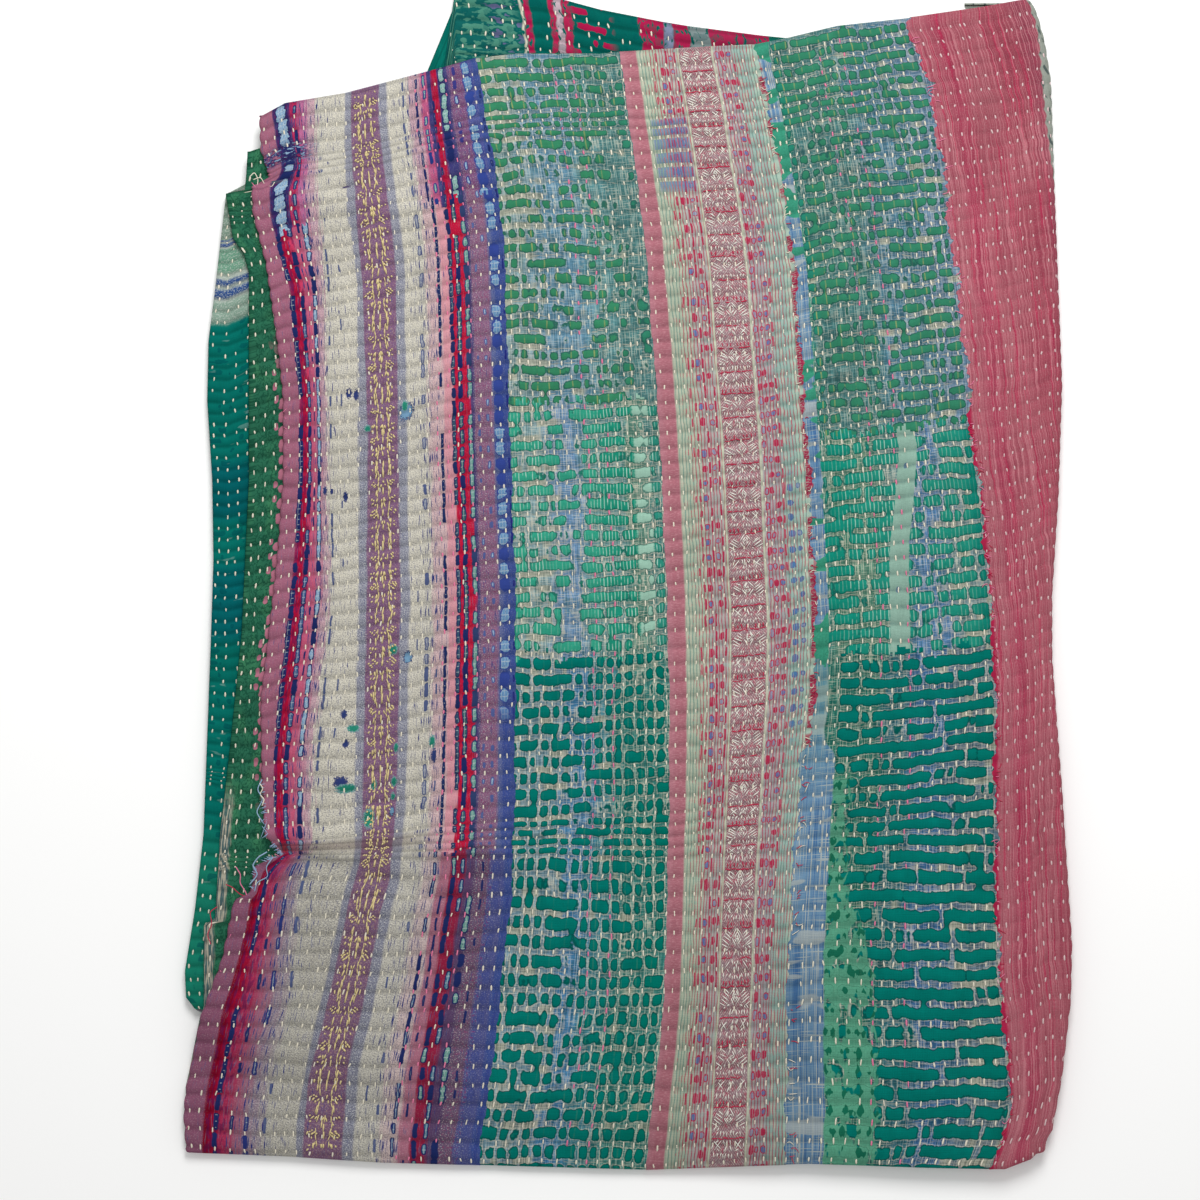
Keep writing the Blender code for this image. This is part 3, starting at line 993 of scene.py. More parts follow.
def hole_columns(across, row, table, seed):
    """Columns of small worn holes. Each row of the table gives a column's centre, half its width in mm,
    half its length in rows, the share of holes that is there, and the dyes of a hole and of its core.
    The cloth takes the numbers of the column that is nearest, so one effect serves them all."""
    centres = [entry[0] for entry in table]
    starts = [centres[0] - BESIDE_COLUMNS] + [(a + b) / 2 for a, b in zip(centres, centres[1:])]
    ends = centres[-1] + BESIDE_COLUMNS

    def by_column(give):
        values = [give(entry) for entry in table]
        return ramp(across, [*zip(starts, values), (ends, values[-1])], "CONSTANT")

    def numbers(give):
        """Three of the nearest column's numbers, which one colour carries."""
        found = by_column(lambda entry: (*give(entry), 1))
        return [Wire(part) for part in list(node("ShaderNodeSeparateColor", found).outputs)[:3]]

    centre, half_width, half_length = numbers(lambda entry: (entry[0] / 1000, entry[1] / 10, entry[2]))
    kept, _, _ = numbers(lambda entry: (entry[3], 0, 0))
    centre = centre * 1000
    values = (across - centre, row, half_width * 10, half_length, kept, centre + seed)
    dash, core = use(worn_dash, *values)
    return dash, core, by_column(lambda entry: entry[4]), by_column(lambda entry: entry[5])


# %% [markdown]
# ## The left band's dyes
#
# This sari border ran along the quilt's edge: a mauve selvedge, crimson and rose stripes whose warp has
# split into rows of small dark holes, two white stripes with grey flecks, and between them a purple
# stripe that carries the brocade. Each stripe could be a strip of mesh, but the dyes run into one
# another and the holes lie on the sewing grid, so tables of stripes and of columns of holes are read
# by Color Ramps instead. The band has three pairs of tables: one for its long middle, one for the top
# end, where navy shows through, and one for the low end, where the crimson has bled into the rose.

# %% Paint the left band
MAUVE, DARK_RED, CRIMSON = dye(168, 102, 126), dye(134, 6, 40), dye(180, 16, 58)
ROSE, PALE_PINK, CREAM = dye(200, 90, 122), dye(208, 168, 178), dye(220, 215, 198)
GREY_BLUE, PURPLE, NAVY = dye(156, 158, 172), dye(132, 92, 128), dye(34, 46, 100)
HEATHER, ROYAL, PALE_BLUE = dye(142, 100, 130), dye(60, 80, 146), dye(146, 178, 206)

LEFT_STRIPES = (
    (0, 0, MAUVE), (11.5, 0.5, dye(150, 34, 84)), (14.6, 0.6, CRIMSON), (20.4, 0.8, dye(208, 60, 100)),
    (24, 1, ROSE), (30.5, 1.2, dye(196, 118, 144)), (36.5, 1.5, PALE_PINK), (43, 1.6, CREAM),
    (66, 0.8, GREY_BLUE), (72.4, 0.6, PURPLE), (100, 0.6, GREY_BLUE), (107.4, 0.8, CREAM),
    (126, 2, dye(222, 188, 188)), (138.4, 0.8, dye(222, 156, 166)), (147, 0.5, dye(196, 18, 60)),
    (160.6, 0.6, dye(84, 66, 118)), (164.4, 0.8, HEATHER), (178.6, 1.2, dye(88, 100, 150)),
    (182.6, 0.8, ROYAL),
)
LOW_STRIPES = (
    (0, 0, dye(142, 86, 112)), (11, 0.6, DARK_RED), (15, 1, dye(160, 14, 52)),
    (19.5, 1.2, dye(170, 48, 86)), (27, 3, dye(158, 98, 120)), (34, 3, dye(158, 140, 150)),
    (42, 3, dye(188, 184, 170)), (66.5, 0.8, dye(136, 138, 152)), (73, 0.6, dye(124, 88, 118)),
    (99.5, 0.6, dye(144, 146, 160)), (106.8, 0.8, dye(202, 198, 184)), (124, 2.5, dye(210, 188, 184)),
    (136.5, 1.5, dye(176, 112, 132)), (145, 1, dye(150, 32, 66)), (156, 1, dye(92, 66, 104)),
    (164, 1, dye(112, 84, 112)), (175, 1.5, dye(78, 84, 142)), (186, 1, ROYAL),
)
TOP_STRIPES = (
    (0, 0, MAUVE), (11, 0.6, dye(54, 46, 106)), (25.5, 1, dye(188, 34, 84)),
    (30.5, 1.2, dye(190, 104, 150)), (36.5, 1.5, PALE_PINK), (44, 1.4, CREAM),
    (65, 0.8, GREY_BLUE), (73, 0.6, PURPLE),
    (99.5, 0.6, GREY_BLUE), (106.6, 0.8, CREAM), (125.5, 2, PALE_PINK), (136.5, 1.5, dye(198, 90, 134)),
    (143, 0.8, dye(60, 58, 118)), (147, 0.6, CRIMSON), (153, 0.6, dye(60, 58, 118)),
    (163.5, 1.2, dye(126, 82, 126)), (177, 1.5, dye(76, 84, 150)), (186.5, 1, ROYAL),
)
# Centre of a column of holes, half its width in mm, half its length in rows, share that is there, and
# the dyes of the hole and of its core.
SLATE, GLASS_GREEN, SKY = dye(84, 96, 136), dye(116, 164, 152), dye(110, 152, 188)
LEFT_HOLES = (
    (12.8, 1.9, 0.32, 0.88, NAVY, NAVY), (22.2, 2, 0.34, 0.94, NAVY, dye(84, 110, 150)),
    (28, 0.6, 0.2, 0.3, NAVY, NAVY), (33.4, 2.2, 0.32, 0.94, NAVY, PALE_BLUE),
    (46, 0.7, 0.34, 0.32, SLATE, SLATE), (54, 0.5, 0.3, 0.14, SLATE, SLATE),
    (114, 0.5, 0.3, 0.12, SLATE, SLATE), (121.4, 1.5, 0.3, 0.42, SLATE, GREY_BLUE),
    (129.5, 0.6, 0.3, 0.22, SLATE, SLATE), (136.2, 1.2, 0.46, 0.76, dye(34, 50, 98), dye(34, 50, 98)),
    (146.6, 1.7, 0.34, 0.92, dye(34, 48, 96), dye(56, 86, 108)),
    (152.6, 2, 0.32, 0.94, NAVY, dye(66, 108, 110)),
    (160, 2.2, 0.3, 0.9, dye(50, 66, 108), GLASS_GREEN),
    (167.6, 1, 0.12, 0.45, dye(84, 96, 150), PALE_BLUE),
    (174.4, 1.3, 0.1, 0.55, dye(84, 96, 150), PALE_BLUE),
    (183.6, 4.3, 0.12, 0.86, dye(54, 72, 146), SKY), (190.8, 0.7, 0.24, 0.4, dye(36, 42, 120), ROYAL),
)
LOW_HOLES = (
    (18.6, 1.3, 0.44, 0.75, NAVY, NAVY), (26.5, 0.9, 0.3, 0.4, NAVY, NAVY),
    (34, 1.2, 0.36, 0.6, dye(44, 56, 120), SLATE), (44, 0.8, 0.32, 0.4, SLATE, SLATE),
    (113, 0.6, 0.3, 0.15, SLATE, SLATE), (121, 0.9, 0.3, 0.35, SLATE, GREY_BLUE),
    (133, 1.3, 0.36, 0.8, NAVY, dye(96, 124, 160)), (140.5, 0.8, 0.3, 0.35, NAVY, NAVY),
    (147.6, 1.7, 0.3, 0.88, NAVY, GLASS_GREEN), (154.4, 1.7, 0.28, 0.88, NAVY, dye(96, 140, 160)),
    (161.8, 2.2, 0.28, 0.85, NAVY, GLASS_GREEN), (170, 0.8, 0.2, 0.35, NAVY, PALE_BLUE),
    (180.6, 2.4, 0.12, 0.6, dye(54, 72, 146), SKY), (189.5, 1, 0.24, 0.5, dye(44, 50, 130), ROYAL),
)
TOP_HOLES = (
    (18.5, 4.4, 0.2, 0.95, NAVY, PALE_BLUE), (28.5, 1.4, 0.3, 0.75, NAVY, dye(96, 130, 160)),
    (38, 0.6, 0.4, 0.3, NAVY, NAVY), (48, 0.5, 0.4, 0.15, SLATE, SLATE),
    (121, 0.8, 0.3, 0.5, SLATE, GREY_BLUE), (133, 1, 0.4, 0.8, NAVY, GREY_BLUE),
    (140, 1.5, 0.3, 0.6, dye(40, 60, 130), GLASS_GREEN), (147.5, 0.9, 0.3, 0.6, NAVY, NAVY),
    (157, 3, 0.26, 0.9, NAVY, dye(140, 184, 176)), (168.5, 1.6, 0.2, 0.6, dye(60, 60, 130), PALE_BLUE),
    (180.4, 4.2, 0.15, 0.92, dye(54, 72, 146), SKY), (190, 1, 0.24, 0.6, NAVY, ROYAL),
)

# Across the band: how far the strands of a stripe stray over its edge, in mm, how many dark flecks
# there are, and how strongly the twill is speckled. Each entry is mm across and the value there.
STRAY = (
    (-5, 1.5), (12, 2), (20, 5), (34, 10), (46, 14), (64, 3), (74, 2), (106, 2), (118, 8), (130, 12),
    (140, 4), (162, 5), (192, 3),
)
FLECKS = (
    (-5, 0), (14, 0.1), (24, 0.5), (38, 0.7), (46, 0.5), (56, 0.2), (70, 0), (106, 0), (114, 0.3),
    (122, 0.7), (134, 0.6), (142, 0.1), (162, 0.2), (178, 0.3), (192, 0.1),
)
SPECKLED = (
    (-5, 0.25), (11, 0.25), (14, 0), (30, 0.2), (40, 0.8), (64, 1), (72, 1.3), (74, 0.5), (99, 0.5),
    (101, 1.3), (107, 1), (130, 0.8), (140, 0.35), (148, 0.1), (162, 0.2), (164, 0.9), (174, 0.6),
    (190, 0.2),
)
FLECK_BLUE, FLECK_GREY = dye(44, 54, 120), dye(118, 122, 150)
CRIMSON_STRIPE, PURPLE_STRIPE, HEATHER_STRIPE = (11.8, 24), (73, 99.5), (164.4, 178)  # mm across
CRUMPLED_ROWS, SHADED_ROWS = (2.9, 4.3), (51.6, 53.3)  # in the upper tuck, and under the lower one

# Worn and darned spots, each its place across, its row, and half its width and length in mm.
GREEN_SPOTS = (
    (106, 23.6, 2.2, 4), (72.6, 24.7, 2, 2.4), (94.6, 39.7, 3.4, 3.2), (64.7, 44.3, 3.4, 2.4),
    (98.7, 45.8, 1.6, 3.2), (127, 45.7, 2, 4), (61.4, 47.9, 5, 3), (81.5, 47.9, 2, 3.2),
    (97.6, 47.9, 2, 3.2), (97.2, 48.8, 1.6, 2.4), (77.9, 50, 4, 6.4),
)
NAVY_SPOTS = (
    (59.4, 22.1, 1.8, 3.4), (64.7, 22.3, 1.5, 4), (40, 28.5, 1.8, 3), (46.2, 28.6, 1, 2),
    (56.4, 29, 1.5, 3.5), (58.8, 43.4, 1.3, 3), (60.4, 45.2, 1.5, 2.5), (128.6, 46.6, 1.6, 5),
    (58.2, 47.5, 3.2, 4),
)
BLUE_SPOTS = ((107, 24, 5.2, 6.5), (106.7, 40.2, 3, 4), (97.2, 49.7, 1.6, 3.2))
# Each kind with the dyes of its core and its rim, in the order in which they are painted.
SPOT_KINDS = (
    (NAVY_SPOTS, dye(50, 64, 118), dye(86, 90, 124)),
    (BLUE_SPOTS, dye(120, 160, 190), dye(58, 70, 112)),
    (GREEN_SPOTS, dye(44, 140, 118), dye(124, 164, 166)),
)


def worn_spots(colour, across, row, spots, core, rim):
    """Paints spots with uneven outlines."""
    ragged = waver(across / 1.2, row * 10, 18, 1.9)
    reach = None
    for middle, at_row, wide, tall in spots:
        away = distance((across - middle) / wide, (row - at_row) * (ROW_PITCH / tall))
        reach = away if reach is None else reach.least(away)
    colour = cover(ease(reach + ragged, 1.3, 1.15), colour, rim)
    return cover(ease(reach + ragged, 1, 0.85), colour, core)


def left_band_paint(table, holes, seed, in_tuck=False, spotted=False):
    """One zone's paint, from its stripes and its columns of holes. The upper tuck has crumpled the top
    zone, and only the middle one is spotted."""

    def paint(across, down, line, row):
        bow = waver(across * 0.04, row * 0.5, 1, 3)
        stray = (noise(across / 1.3, row * 0.5, 2) - 0.5) * level(across, STRAY)
        place = across + bow
        colour = stripes(place + stray, table)
        fleck = noise(across / 0.8, row, 12) + 0.16 * level(across, FLECKS)
        colour = cover(ease(fleck, 0.62, 0.67) * 0.4, colour, FLECK_GREY)
        twill = noise(across / 0.9 + down / 1.2, down / 0.9 - across / 2.6, 13, detail=1)
        speckled = level(place, SPECKLED)
        colour = cover(ease(twill, 0.49, 0.62) * speckled * 0.62, colour, dye(92, 92, 112))
        colour = cover(ease(twill, 0.42, 0.34) * speckled * 0.5, colour, dye(236, 234, 226))
        crest = ease(off_row(row), 0.3, 0.7)
        colour = cover(ease(fleck, 0.69, 0.73) * crest, colour, FLECK_BLUE)
        yellow = ease(noise(across / 1.1, down / 1.8, 31), 0.56, 0.63)
        on_purple = between(place, *PURPLE_STRIPE, 0.6)
        colour = cover(on_purple * yellow * 0.55, colour, dye(176, 144, 128))
        on_heather = between(place, *HEATHER_STRIPE, 0.8)
        colour = cover(on_heather * yellow * 0.5, colour, dye(140, 44, 100))
        plum = noise(across / 2.2, row * 1.5, 17)
        crimson = between(place, *CRIMSON_STRIPE, 0.8)
        colour = cover(crimson * ease(plum, 0.5, 0.56) * 0.6, colour, dye(98, 26, 80))
        dash, core, dark, pale = hole_columns(across, row, holes, seed)
        few = 1 - ease(across, 178, 179) * ease(row, 43, 46)  # at the lower right
        core = core * few
        colour = cover(dash * (0.3 + 0.7 * few), colour, dark)
        check = (across * 1.3).math("SINE").size().least((down * 0.7).math("SINE").size())
        pale = cover(ease(check, 0.34, 0.1) * 0.55, pale, dye(206, 214, 212))
        thread = noise(across / 0.6, down / 1.6, 16)
        colour = cover(core * ease(thread, 0.22, 0.5), colour, pale)
        for spots, core_dye, rim_dye in SPOT_KINDS if spotted else ():
            colour = worn_spots(colour, across, row, spots, core_dye, rim_dye)
        if in_tuck:
            tuck = between(row, *CRUMPLED_ROWS, 0.5) * ease(across, 52, 26)
            crumple = noise(across * 0.2, down * 0.6, 41)
            colour = cover(tuck * ease(crumple, 0.4, 0.5), colour, dye(48, 44, 96))
            colour = cover(tuck * ease(crumple, 0.56, 0.62), colour, PALE_BLUE)
        shade = between(row, *SHADED_ROWS, 0.8) * ease(across, 150, 90)
        colour = cover(shade * 0.5, colour, dye(104, 78, 72))
        return colour, dash * -0.4 + stray * 0.12

    return paint


left_cloths = [
    fabric(name, paint, trough=0.24, patchy=0.14) for name, paint in (
        ("left band top", left_band_paint(TOP_STRIPES, TOP_HOLES, 1, in_tuck=True)),
        ("left band", left_band_paint(LEFT_STRIPES, LEFT_HOLES, 2, spotted=True)),
        ("left band low", left_band_paint(LOW_STRIPES, LOW_HOLES, 3)),
    )
]

# %% [markdown]
# ## The green fields
#
# Two wide fields of green show through what is left of a blue and cream top cloth. Each has three
# zones from top to bottom: rounded windows in a blue gauze, a bright green stretch where only
# pinstripes of pale warp are left, and a lower stretch of deep-teal windows run together into bars.
# One material could mix all three by masks, but every point would then pay for three sets of windows.
# So each zone is a material of its own, made by one function from the zone's sizes and dyes.

# %% Paint the green fields
OLIVE, THREAD_CREAM, BAR_CREAM = dye(168, 172, 104), dye(204, 200, 180), dye(190, 190, 166)
ZONE_B, ZONE_C = (24.6, 41), (28.5, 42.7)  # rows where the zones change, left and right field


def net_colour(across, row, zone):
    """The net's dye along the field. Some runs of its bars are cream, and some are darker."""
    sway = waver(across * 0.05, row * 0.35, 5, 26)
    colour = stripes(across + sway, zone["net"])
    bars = noise(across * 0.05, row.nearest() * 3.3, 15)
    on_bar = ease((row - row.nearest()).size(), 0.3, 0.16)
    creamy = ease(bars + level(across, zone["cream"]), 0.62, 0.72) * on_bar
    colour = cover(ease(bars, 0.44, 0.34) * 0.35, colour, zone["rim"])
    return cover(creamy * 0.75, colour, BAR_CREAM)


def field_paint(zone, seed):
    """The paint of one zone of a field, from the zone's own numbers and dyes."""
    worn_rows, how_much = zone["worn rows"]

    def paint(across, down, line, row):
        fine = noise(across / 0.9, row * 0.5, seed + 1)
        cross = noise(across / 9, down / 0.8, seed + 2)
        thready = ease(fine, 0.42, 0.58) * 0.6 + ease(cross, 0.44, 0.6) * 0.4
        whole, kept = (level(across, zone[key]) for key in ("whole", "threads kept"))
        whole = whole - how_much * ease(row, worn_rows + 1, worn_rows - 1)
        begins, ends = zone["edges"]
        from_edge = (across - begins).least(ends - across)
        values = (line, row, zone["bar"], zone["thread"], zone["bars kept"], kept, whole, from_edge, seed)
        window, edge, rim = use(worn_windows, *values)
        net = tone(net_colour(across, row, zone), 0.66 + 0.66 * thready)
        nearest = row.nearest()
        off = (row - nearest) * ROW_PITCH + waver(across * 0.12, nearest * 3.1, seed + 10, 4)
        weft = 1 - ease(off.size(), 0.2, 0.55)
        weft = weft * ease(noise(across / 13, nearest * 5.3, seed + 11), 0.5, 0.58)
        pale = ease(fine, 0.55, 0.6).most(ease(cross, 0.57, 0.62)) * zone["twisted"]
        net = cover(pale.most(weft * zone["weft"]), net, THREAD_CREAM)
        dark = ease(fine, 0.44, 0.38).most(ease(cross, 0.42, 0.36)) * 0.3
        net = cover(dark, net, zone["rim"])
        under = stripes(across + (cross - 0.5) * 3, zone["window"])
        under = tone(under, 0.76 + 0.48 * noise(line * 0.5, row * 1.1, seed + 8))
        pitch, width, pin_dye, strength = zone["pins"]
        (stripe,) = use(pinstripes, across, row, pitch, width, seed)
        under = cover(stripe * level(across, strength), under, pin_dye)
        colour = cover(window, net, under)
        # Painted shade round each window, in the rim's dye.
        colour = cover(rim * 0.75, colour, zone["rim"])
        colour = cover(edge * zone["outlined"] * (0.2 + 0.9 * thready), colour, THREAD_CREAM)
        return colour, window * -0.45 + thready * 0.15 - rim * 0.35

    return paint


# Each zone says, in mm across the cloth:
#   edges: where its windows begin and end; bar, thread: half the width of the net's bars and threads
#   bars kept: their share; threads kept: theirs across the field; whole: how little of it has worn
#   worn rows: the row above which it is more worn, and by how much
#   net, cream: the net's dyes and how much of it is cream; window: the dye of the windows
#   rim: the dye of the painted shade round each window, which also darkens some of the net's threads
#   outlined, twisted, weft: how strongly windows are edged, the net is twisted and one weft shows
#   pins: the pinstripes' pitch, width and dye, and their strength across the field
TOP_GREEN, FIELD_TEAL = dye(56, 134, 98), dye(2, 120, 110)
LEFT_TOP = {
    "edges": (191, 311.5), "bar": 2.5, "thread": 1.1, "bars kept": 0.97,
    "threads kept": ((180, 0.55), (310, 0.5)), "worn rows": (7, 0.35),
    "whole": ((180, 0.05), (212, 0.1), (228, 0.28), (250, 0.25), (268, 0.15), (284, 0.3), (300, 0.45)),
    "net": (
        (0, 0, dye(138, 170, 176)), (216, 8, dye(104, 150, 176)), (262, 8, dye(94, 148, 152)),
        (286, 5, dye(84, 134, 134)),
    ),
    "cream": ((180, 0.2), (226, 0.14), (240, -0.1), (310, -0.1)),
    "window": ((0, 0, TOP_GREEN), (290, 5, dye(50, 128, 102))), "rim": dye(44, 92, 90),
    "outlined": 0.45, "twisted": 0.42, "weft": 0.8,
    "pins": (9.6, 0.1, OLIVE, ((180, 0.7), (310, 0.6))),
}
LEFT_MIDDLE = {
    "edges": (191, 312), "bar": 2.1, "thread": 1, "bars kept": 0.95,
    "threads kept": ((180, 0.3), (246, 0.4), (256, 0.15), (288, 0.3), (290, 1), (293, 0.3), (303, 0.3),
                     (305, 1), (308, 0.3)),
    "worn rows": (24, 0),
    "whole": ((180, 0.05), (230, 0.2), (238, 0.4), (248, 0.35), (256, 0), (292, 0.1), (300, 0.2)),
    "net": (
        (0, 0, dye(146, 178, 184)), (222, 6, dye(118, 156, 194)), (250, 6, dye(114, 164, 166)),
        (283, 3, dye(104, 150, 134)), (300, 3, dye(92, 142, 140)),
    ),
    "cream": ((180, 0.16), (226, 0.16), (240, 0), (310, -0.1)),
    "window": ((0, 0, dye(54, 162, 134)), (262, 6, dye(32, 146, 120)), (291.5, 0.8, dye(158, 200, 180)),
               (304.5, 0.8, dye(46, 140, 122))),
    "rim": dye(28, 98, 88), "outlined": 0.7, "twisted": 0.6, "weft": 0.5,
    "pins": (2.7, 0.24, dye(184, 220, 204), ((180, 0.95), (216, 0.95), (222, 0.3), (252, 0.35), (258, 0.9),
                                            (288, 0.95), (291, 0), (304, 0), (306, 0.9))),
}
LEFT_LOW = {
    "edges": (190.5, 312.5), "bar": 2, "thread": 1.15, "bars kept": 0.96,
    "threads kept": ((180, 0.64), (230, 0.5), (256, 0.65), (268, 0.88), (312, 0.88)),
    "worn rows": (40, 0),
    "whole": ((180, 0), (228, 0), (234, 0.2), (246, 0.2), (252, 0), (270, -0.1), (300, -0.1)),
    "net": (
        (0, 0, dye(126, 160, 176)), (228, 5, dye(82, 140, 184)), (252, 5, dye(84, 148, 162)),
        (270, 8, dye(70, 142, 134)),
    ),
    "cream": ((180, 0.12), (232, 0.1), (242, -0.1), (262, 0.08), (312, 0)),
    "window": ((0, 0, FIELD_TEAL), (290, 9, dye(0, 120, 106))), "rim": dye(4, 84, 80),
    "outlined": 0.7, "twisted": 0.5, "weft": 0.4,
    "pins": (11, 0.08, dye(120, 166, 120), ((180, 0), (310, 0.2))),
}
RIGHT_TOP = {
    "edges": (440.5, 566.5), "bar": 2.5, "thread": 1, "bars kept": 0.97,
    "threads kept": ((430, 0.4), (570, 0.45)), "worn rows": (7, 0.3),
    "whole": ((405, 0.8), (436, 0.7), (442, 0.1), (456, 0.2), (500, 0.28), (520, 0.1), (570, 0.05)),
    "net": (
        (0, 0, dye(36, 140, 120)), (443, 2, dye(80, 132, 132)), (500, 8, dye(88, 134, 158)),
        (545, 8, dye(112, 144, 172)),
    ),
    "cream": ((430, -0.2), (460, 0), (545, 0.08), (570, 0.1)),
    "window": ((0, 0, dye(40, 132, 110)), (448, 3, dye(54, 132, 102))), "rim": dye(36, 84, 84),
    "outlined": 0.3, "twisted": 0.4, "weft": 0.8,
    "pins": (9.6, 0.1, OLIVE, ((430, 0.7), (570, 0.6))),
}
RIGHT_MIDDLE = {
    "edges": (438, 567.5), "bar": 1.8, "thread": 0.8, "bars kept": 0.9,
    "threads kept": ((430, 0.1), (500, 0.1), (540, 0.3), (570, 0.4)), "worn rows": (28, 0),
    "whole": (
        (405, 0.8), (434, 0.5), (440, 0.2), (456, 0.1), (506, 0.1), (512, 0.25), (535, 0.25), (545, 0),
    ),
    "net": (
        (0, 0, dye(84, 144, 134)), (444, 3, dye(96, 146, 124)), (486, 4, dye(112, 150, 150)),
        (506, 2, dye(96, 138, 182)), (540, 6, dye(136, 164, 170)),
    ),
    "cream": ((430, -0.2), (520, 0), (545, 0.12), (570, 0.12)),
    "window": ((0, 0, dye(20, 140, 120)), (466, 6, dye(34, 144, 124)), (560, 4, dye(16, 130, 114))),
    "rim": dye(22, 98, 90), "outlined": 0.55, "twisted": 0.55, "weft": 0.4,
    "pins": (3.2, 0.2, dye(176, 212, 194), ((430, 0), (452, 0.3), (464, 0.95), (540, 0.95), (548, 0.4),
                                           (570, 0.1))),
}
RIGHT_LOW = {
    "edges": (450, 567.5), "bar": 2.15, "thread": 1.1, "bars kept": 0.975,
    "threads kept": ((450, 0.3), (500, 0.3), (520, 0.2), (570, 0.1)), "worn rows": (40, 0),
    "whole": ((405, 0), (500, -0.1), (515, -0.1), (570, -0.1)),
    "net": (
        (0, 0, dye(52, 126, 112)), (484, 6, dye(66, 122, 136)), (506, 5, dye(74, 120, 168)),
        (536, 6, dye(112, 134, 152)),
    ),
    "cream": ((450, -0.05), (505, -0.1), (530, 0.08), (570, 0.16)),
    "window": ((0, 0, FIELD_TEAL), (560, 9, dye(0, 118, 106))), "rim": dye(2, 80, 76),
    "outlined": 0.6, "twisted": 0.45, "weft": 0.4,
    "pins": (11, 0.08, dye(120, 166, 120), ((450, 0), (570, 0))),
}
BAND_EDGE = 441  # mm across, where what lies beside the centre band ends
right_low_paint = field_paint(RIGHT_LOW, 29)


def blue_plaid(across, down, row, seed):
    """Sky-blue cotton with white lines and darker ones."""
    white, dark = use(plaid_lines, across, down, row, seed)
    plaid = cover(dark * 0.8, dye(112, 148, 178), dye(58, 104, 158))
    return cover(white * 0.75, plaid, dye(190, 196, 188))


def felt(across, row):
    """Green wool that has felted, with darker worn ovals in it."""
    in_row = (row - row.floor() - 0.5).size()
    nap = noise(across * 0.2, row * 0.9, 63) + 0.1 - 0.5 * in_row
    fluff = noise(across / 1.2, row * 8, 64)
    oval = ease(nap, 0.57, 0.6)
    return cover(oval, tone(dye(92, 164, 134), 0.75 + 0.5 * fluff), dye(26, 108, 82))


def plaid_and_felt(across, down, line, row):
    """The right field's lower zone, with the sky-blue plaid strip and felted patches at its left."""
    colour, relief = right_low_paint(across, down, line, row)
    patch = noise(across * 0.12, row * 0.7, 61)
    reach = 462 + 22 * ease(row, 56, 62)
    felted = ease(across + (patch - 0.5) * 34 - reach, 1, -1) * ease(row, 49.5, 50.5)
    felted = felted * ease(patch, 0.4, 0.43)
    colour = cover(felted * 0.95, colour, felt(across, row))
    ends = BAND_EDGE + 9 * ease(row, 47.8, 48.8) + waver(across * 0.02, row * 0.9, 65, 5)
    in_plaid = ease(across - ends, 0.8, -0.8)
    # Painted shade: darker towards the bottom, where less light falls.
    plaid = tone(blue_plaid(across, down, row, 71), 1 - 0.13 * ease(row, 54, 62))
    greener = ease(row, 52, 44)
    plaid = cover(greener * 0.4, plaid, dye(70, 140, 118))
    return cover(in_plaid, colour, plaid), relief * (1 - in_plaid * 0.7)


def side_strip(colour, across, down, row):
    """Beside the torn edge of the centre band, patches of plaid and of green felt take turns."""
    in_strip = ease(across + waver(row * 1.1, 2, 66, 5), BAND_EDGE, BAND_EDGE - 1)
    turn = ease(noise(row * 0.5, across * 0.02, 77), 0.48, 0.5)
    green = tone(dye(62, 152, 124), 0.7 + 0.6 * noise(across / 1.5, down / 1.5, 78))
    strip = cover(turn, green, blue_plaid(across, down, row, 73))
    return cover(in_strip, colour, strip)


right_middle_paint = field_paint(RIGHT_MIDDLE, 19)
MINT_FROM, MINT_TO, MINT_MIDDLE = 487.2, 502.6, 494  # mm across
# How far the mint strip leans over, in cm, at each row.
MINT_LEAN = ((26, 1.9), (30, 1.9), (36, 0.52), (40, 0.16), (46, 0.08))


def mint_strip(across, down, line, row):
    """The right field's middle zone, with the one whole strip of mint cotton."""
    colour, relief = right_middle_paint(across, down, line, row)
    place = across - level(row, MINT_LEAN) * 10
    rough = waver(row * 2.2, 1, 68, 2.4)
    strip = between(place + rough, MINT_FROM, MINT_TO, 0.3)
    pit, _ = use(worn_dash, place - MINT_MIDDLE, row + 0.5, 1.6, 0.06, 0.3, 67)
    slub = noise(across / 2, down, 69)
    mint = tone(dye(148, 184, 168), 0.85 + 0.3 * slub)
    mint = cover(pit * 0.8, mint, dye(84, 112, 150))
    crossing = ease(off_row(row), 0.3, 0.12) * ease(slub, 0.5, 0.56)
    mint = cover(crossing * 0.5, mint, dye(110, 150, 150))
    colour = side_strip(colour, across, down, row)
    return cover(strip, colour, mint), relief * (1 - strip)


right_top_paint = field_paint(RIGHT_TOP, 17)


def top_right(across, down, line, row):
    """The right field's top zone, with the strip beside the centre band."""
    colour, relief = right_top_paint(across, down, line, row)
    return side_strip(colour, across, down, row), relief


left_field_cloths, right_field_cloths = (
    [
        fabric(f"{side} field {where}", paint, trough=0.2, patchy=0.16)
        for where, paint in zip(("top", "middle", "low"), paints)
    ]
    for side, paints in (
        ("left", (field_paint(LEFT_TOP, 3), field_paint(LEFT_MIDDLE, 5), field_paint(LEFT_LOW, 7))),
        ("right", (top_right, mint_strip, plaid_and_felt)),
    )
)
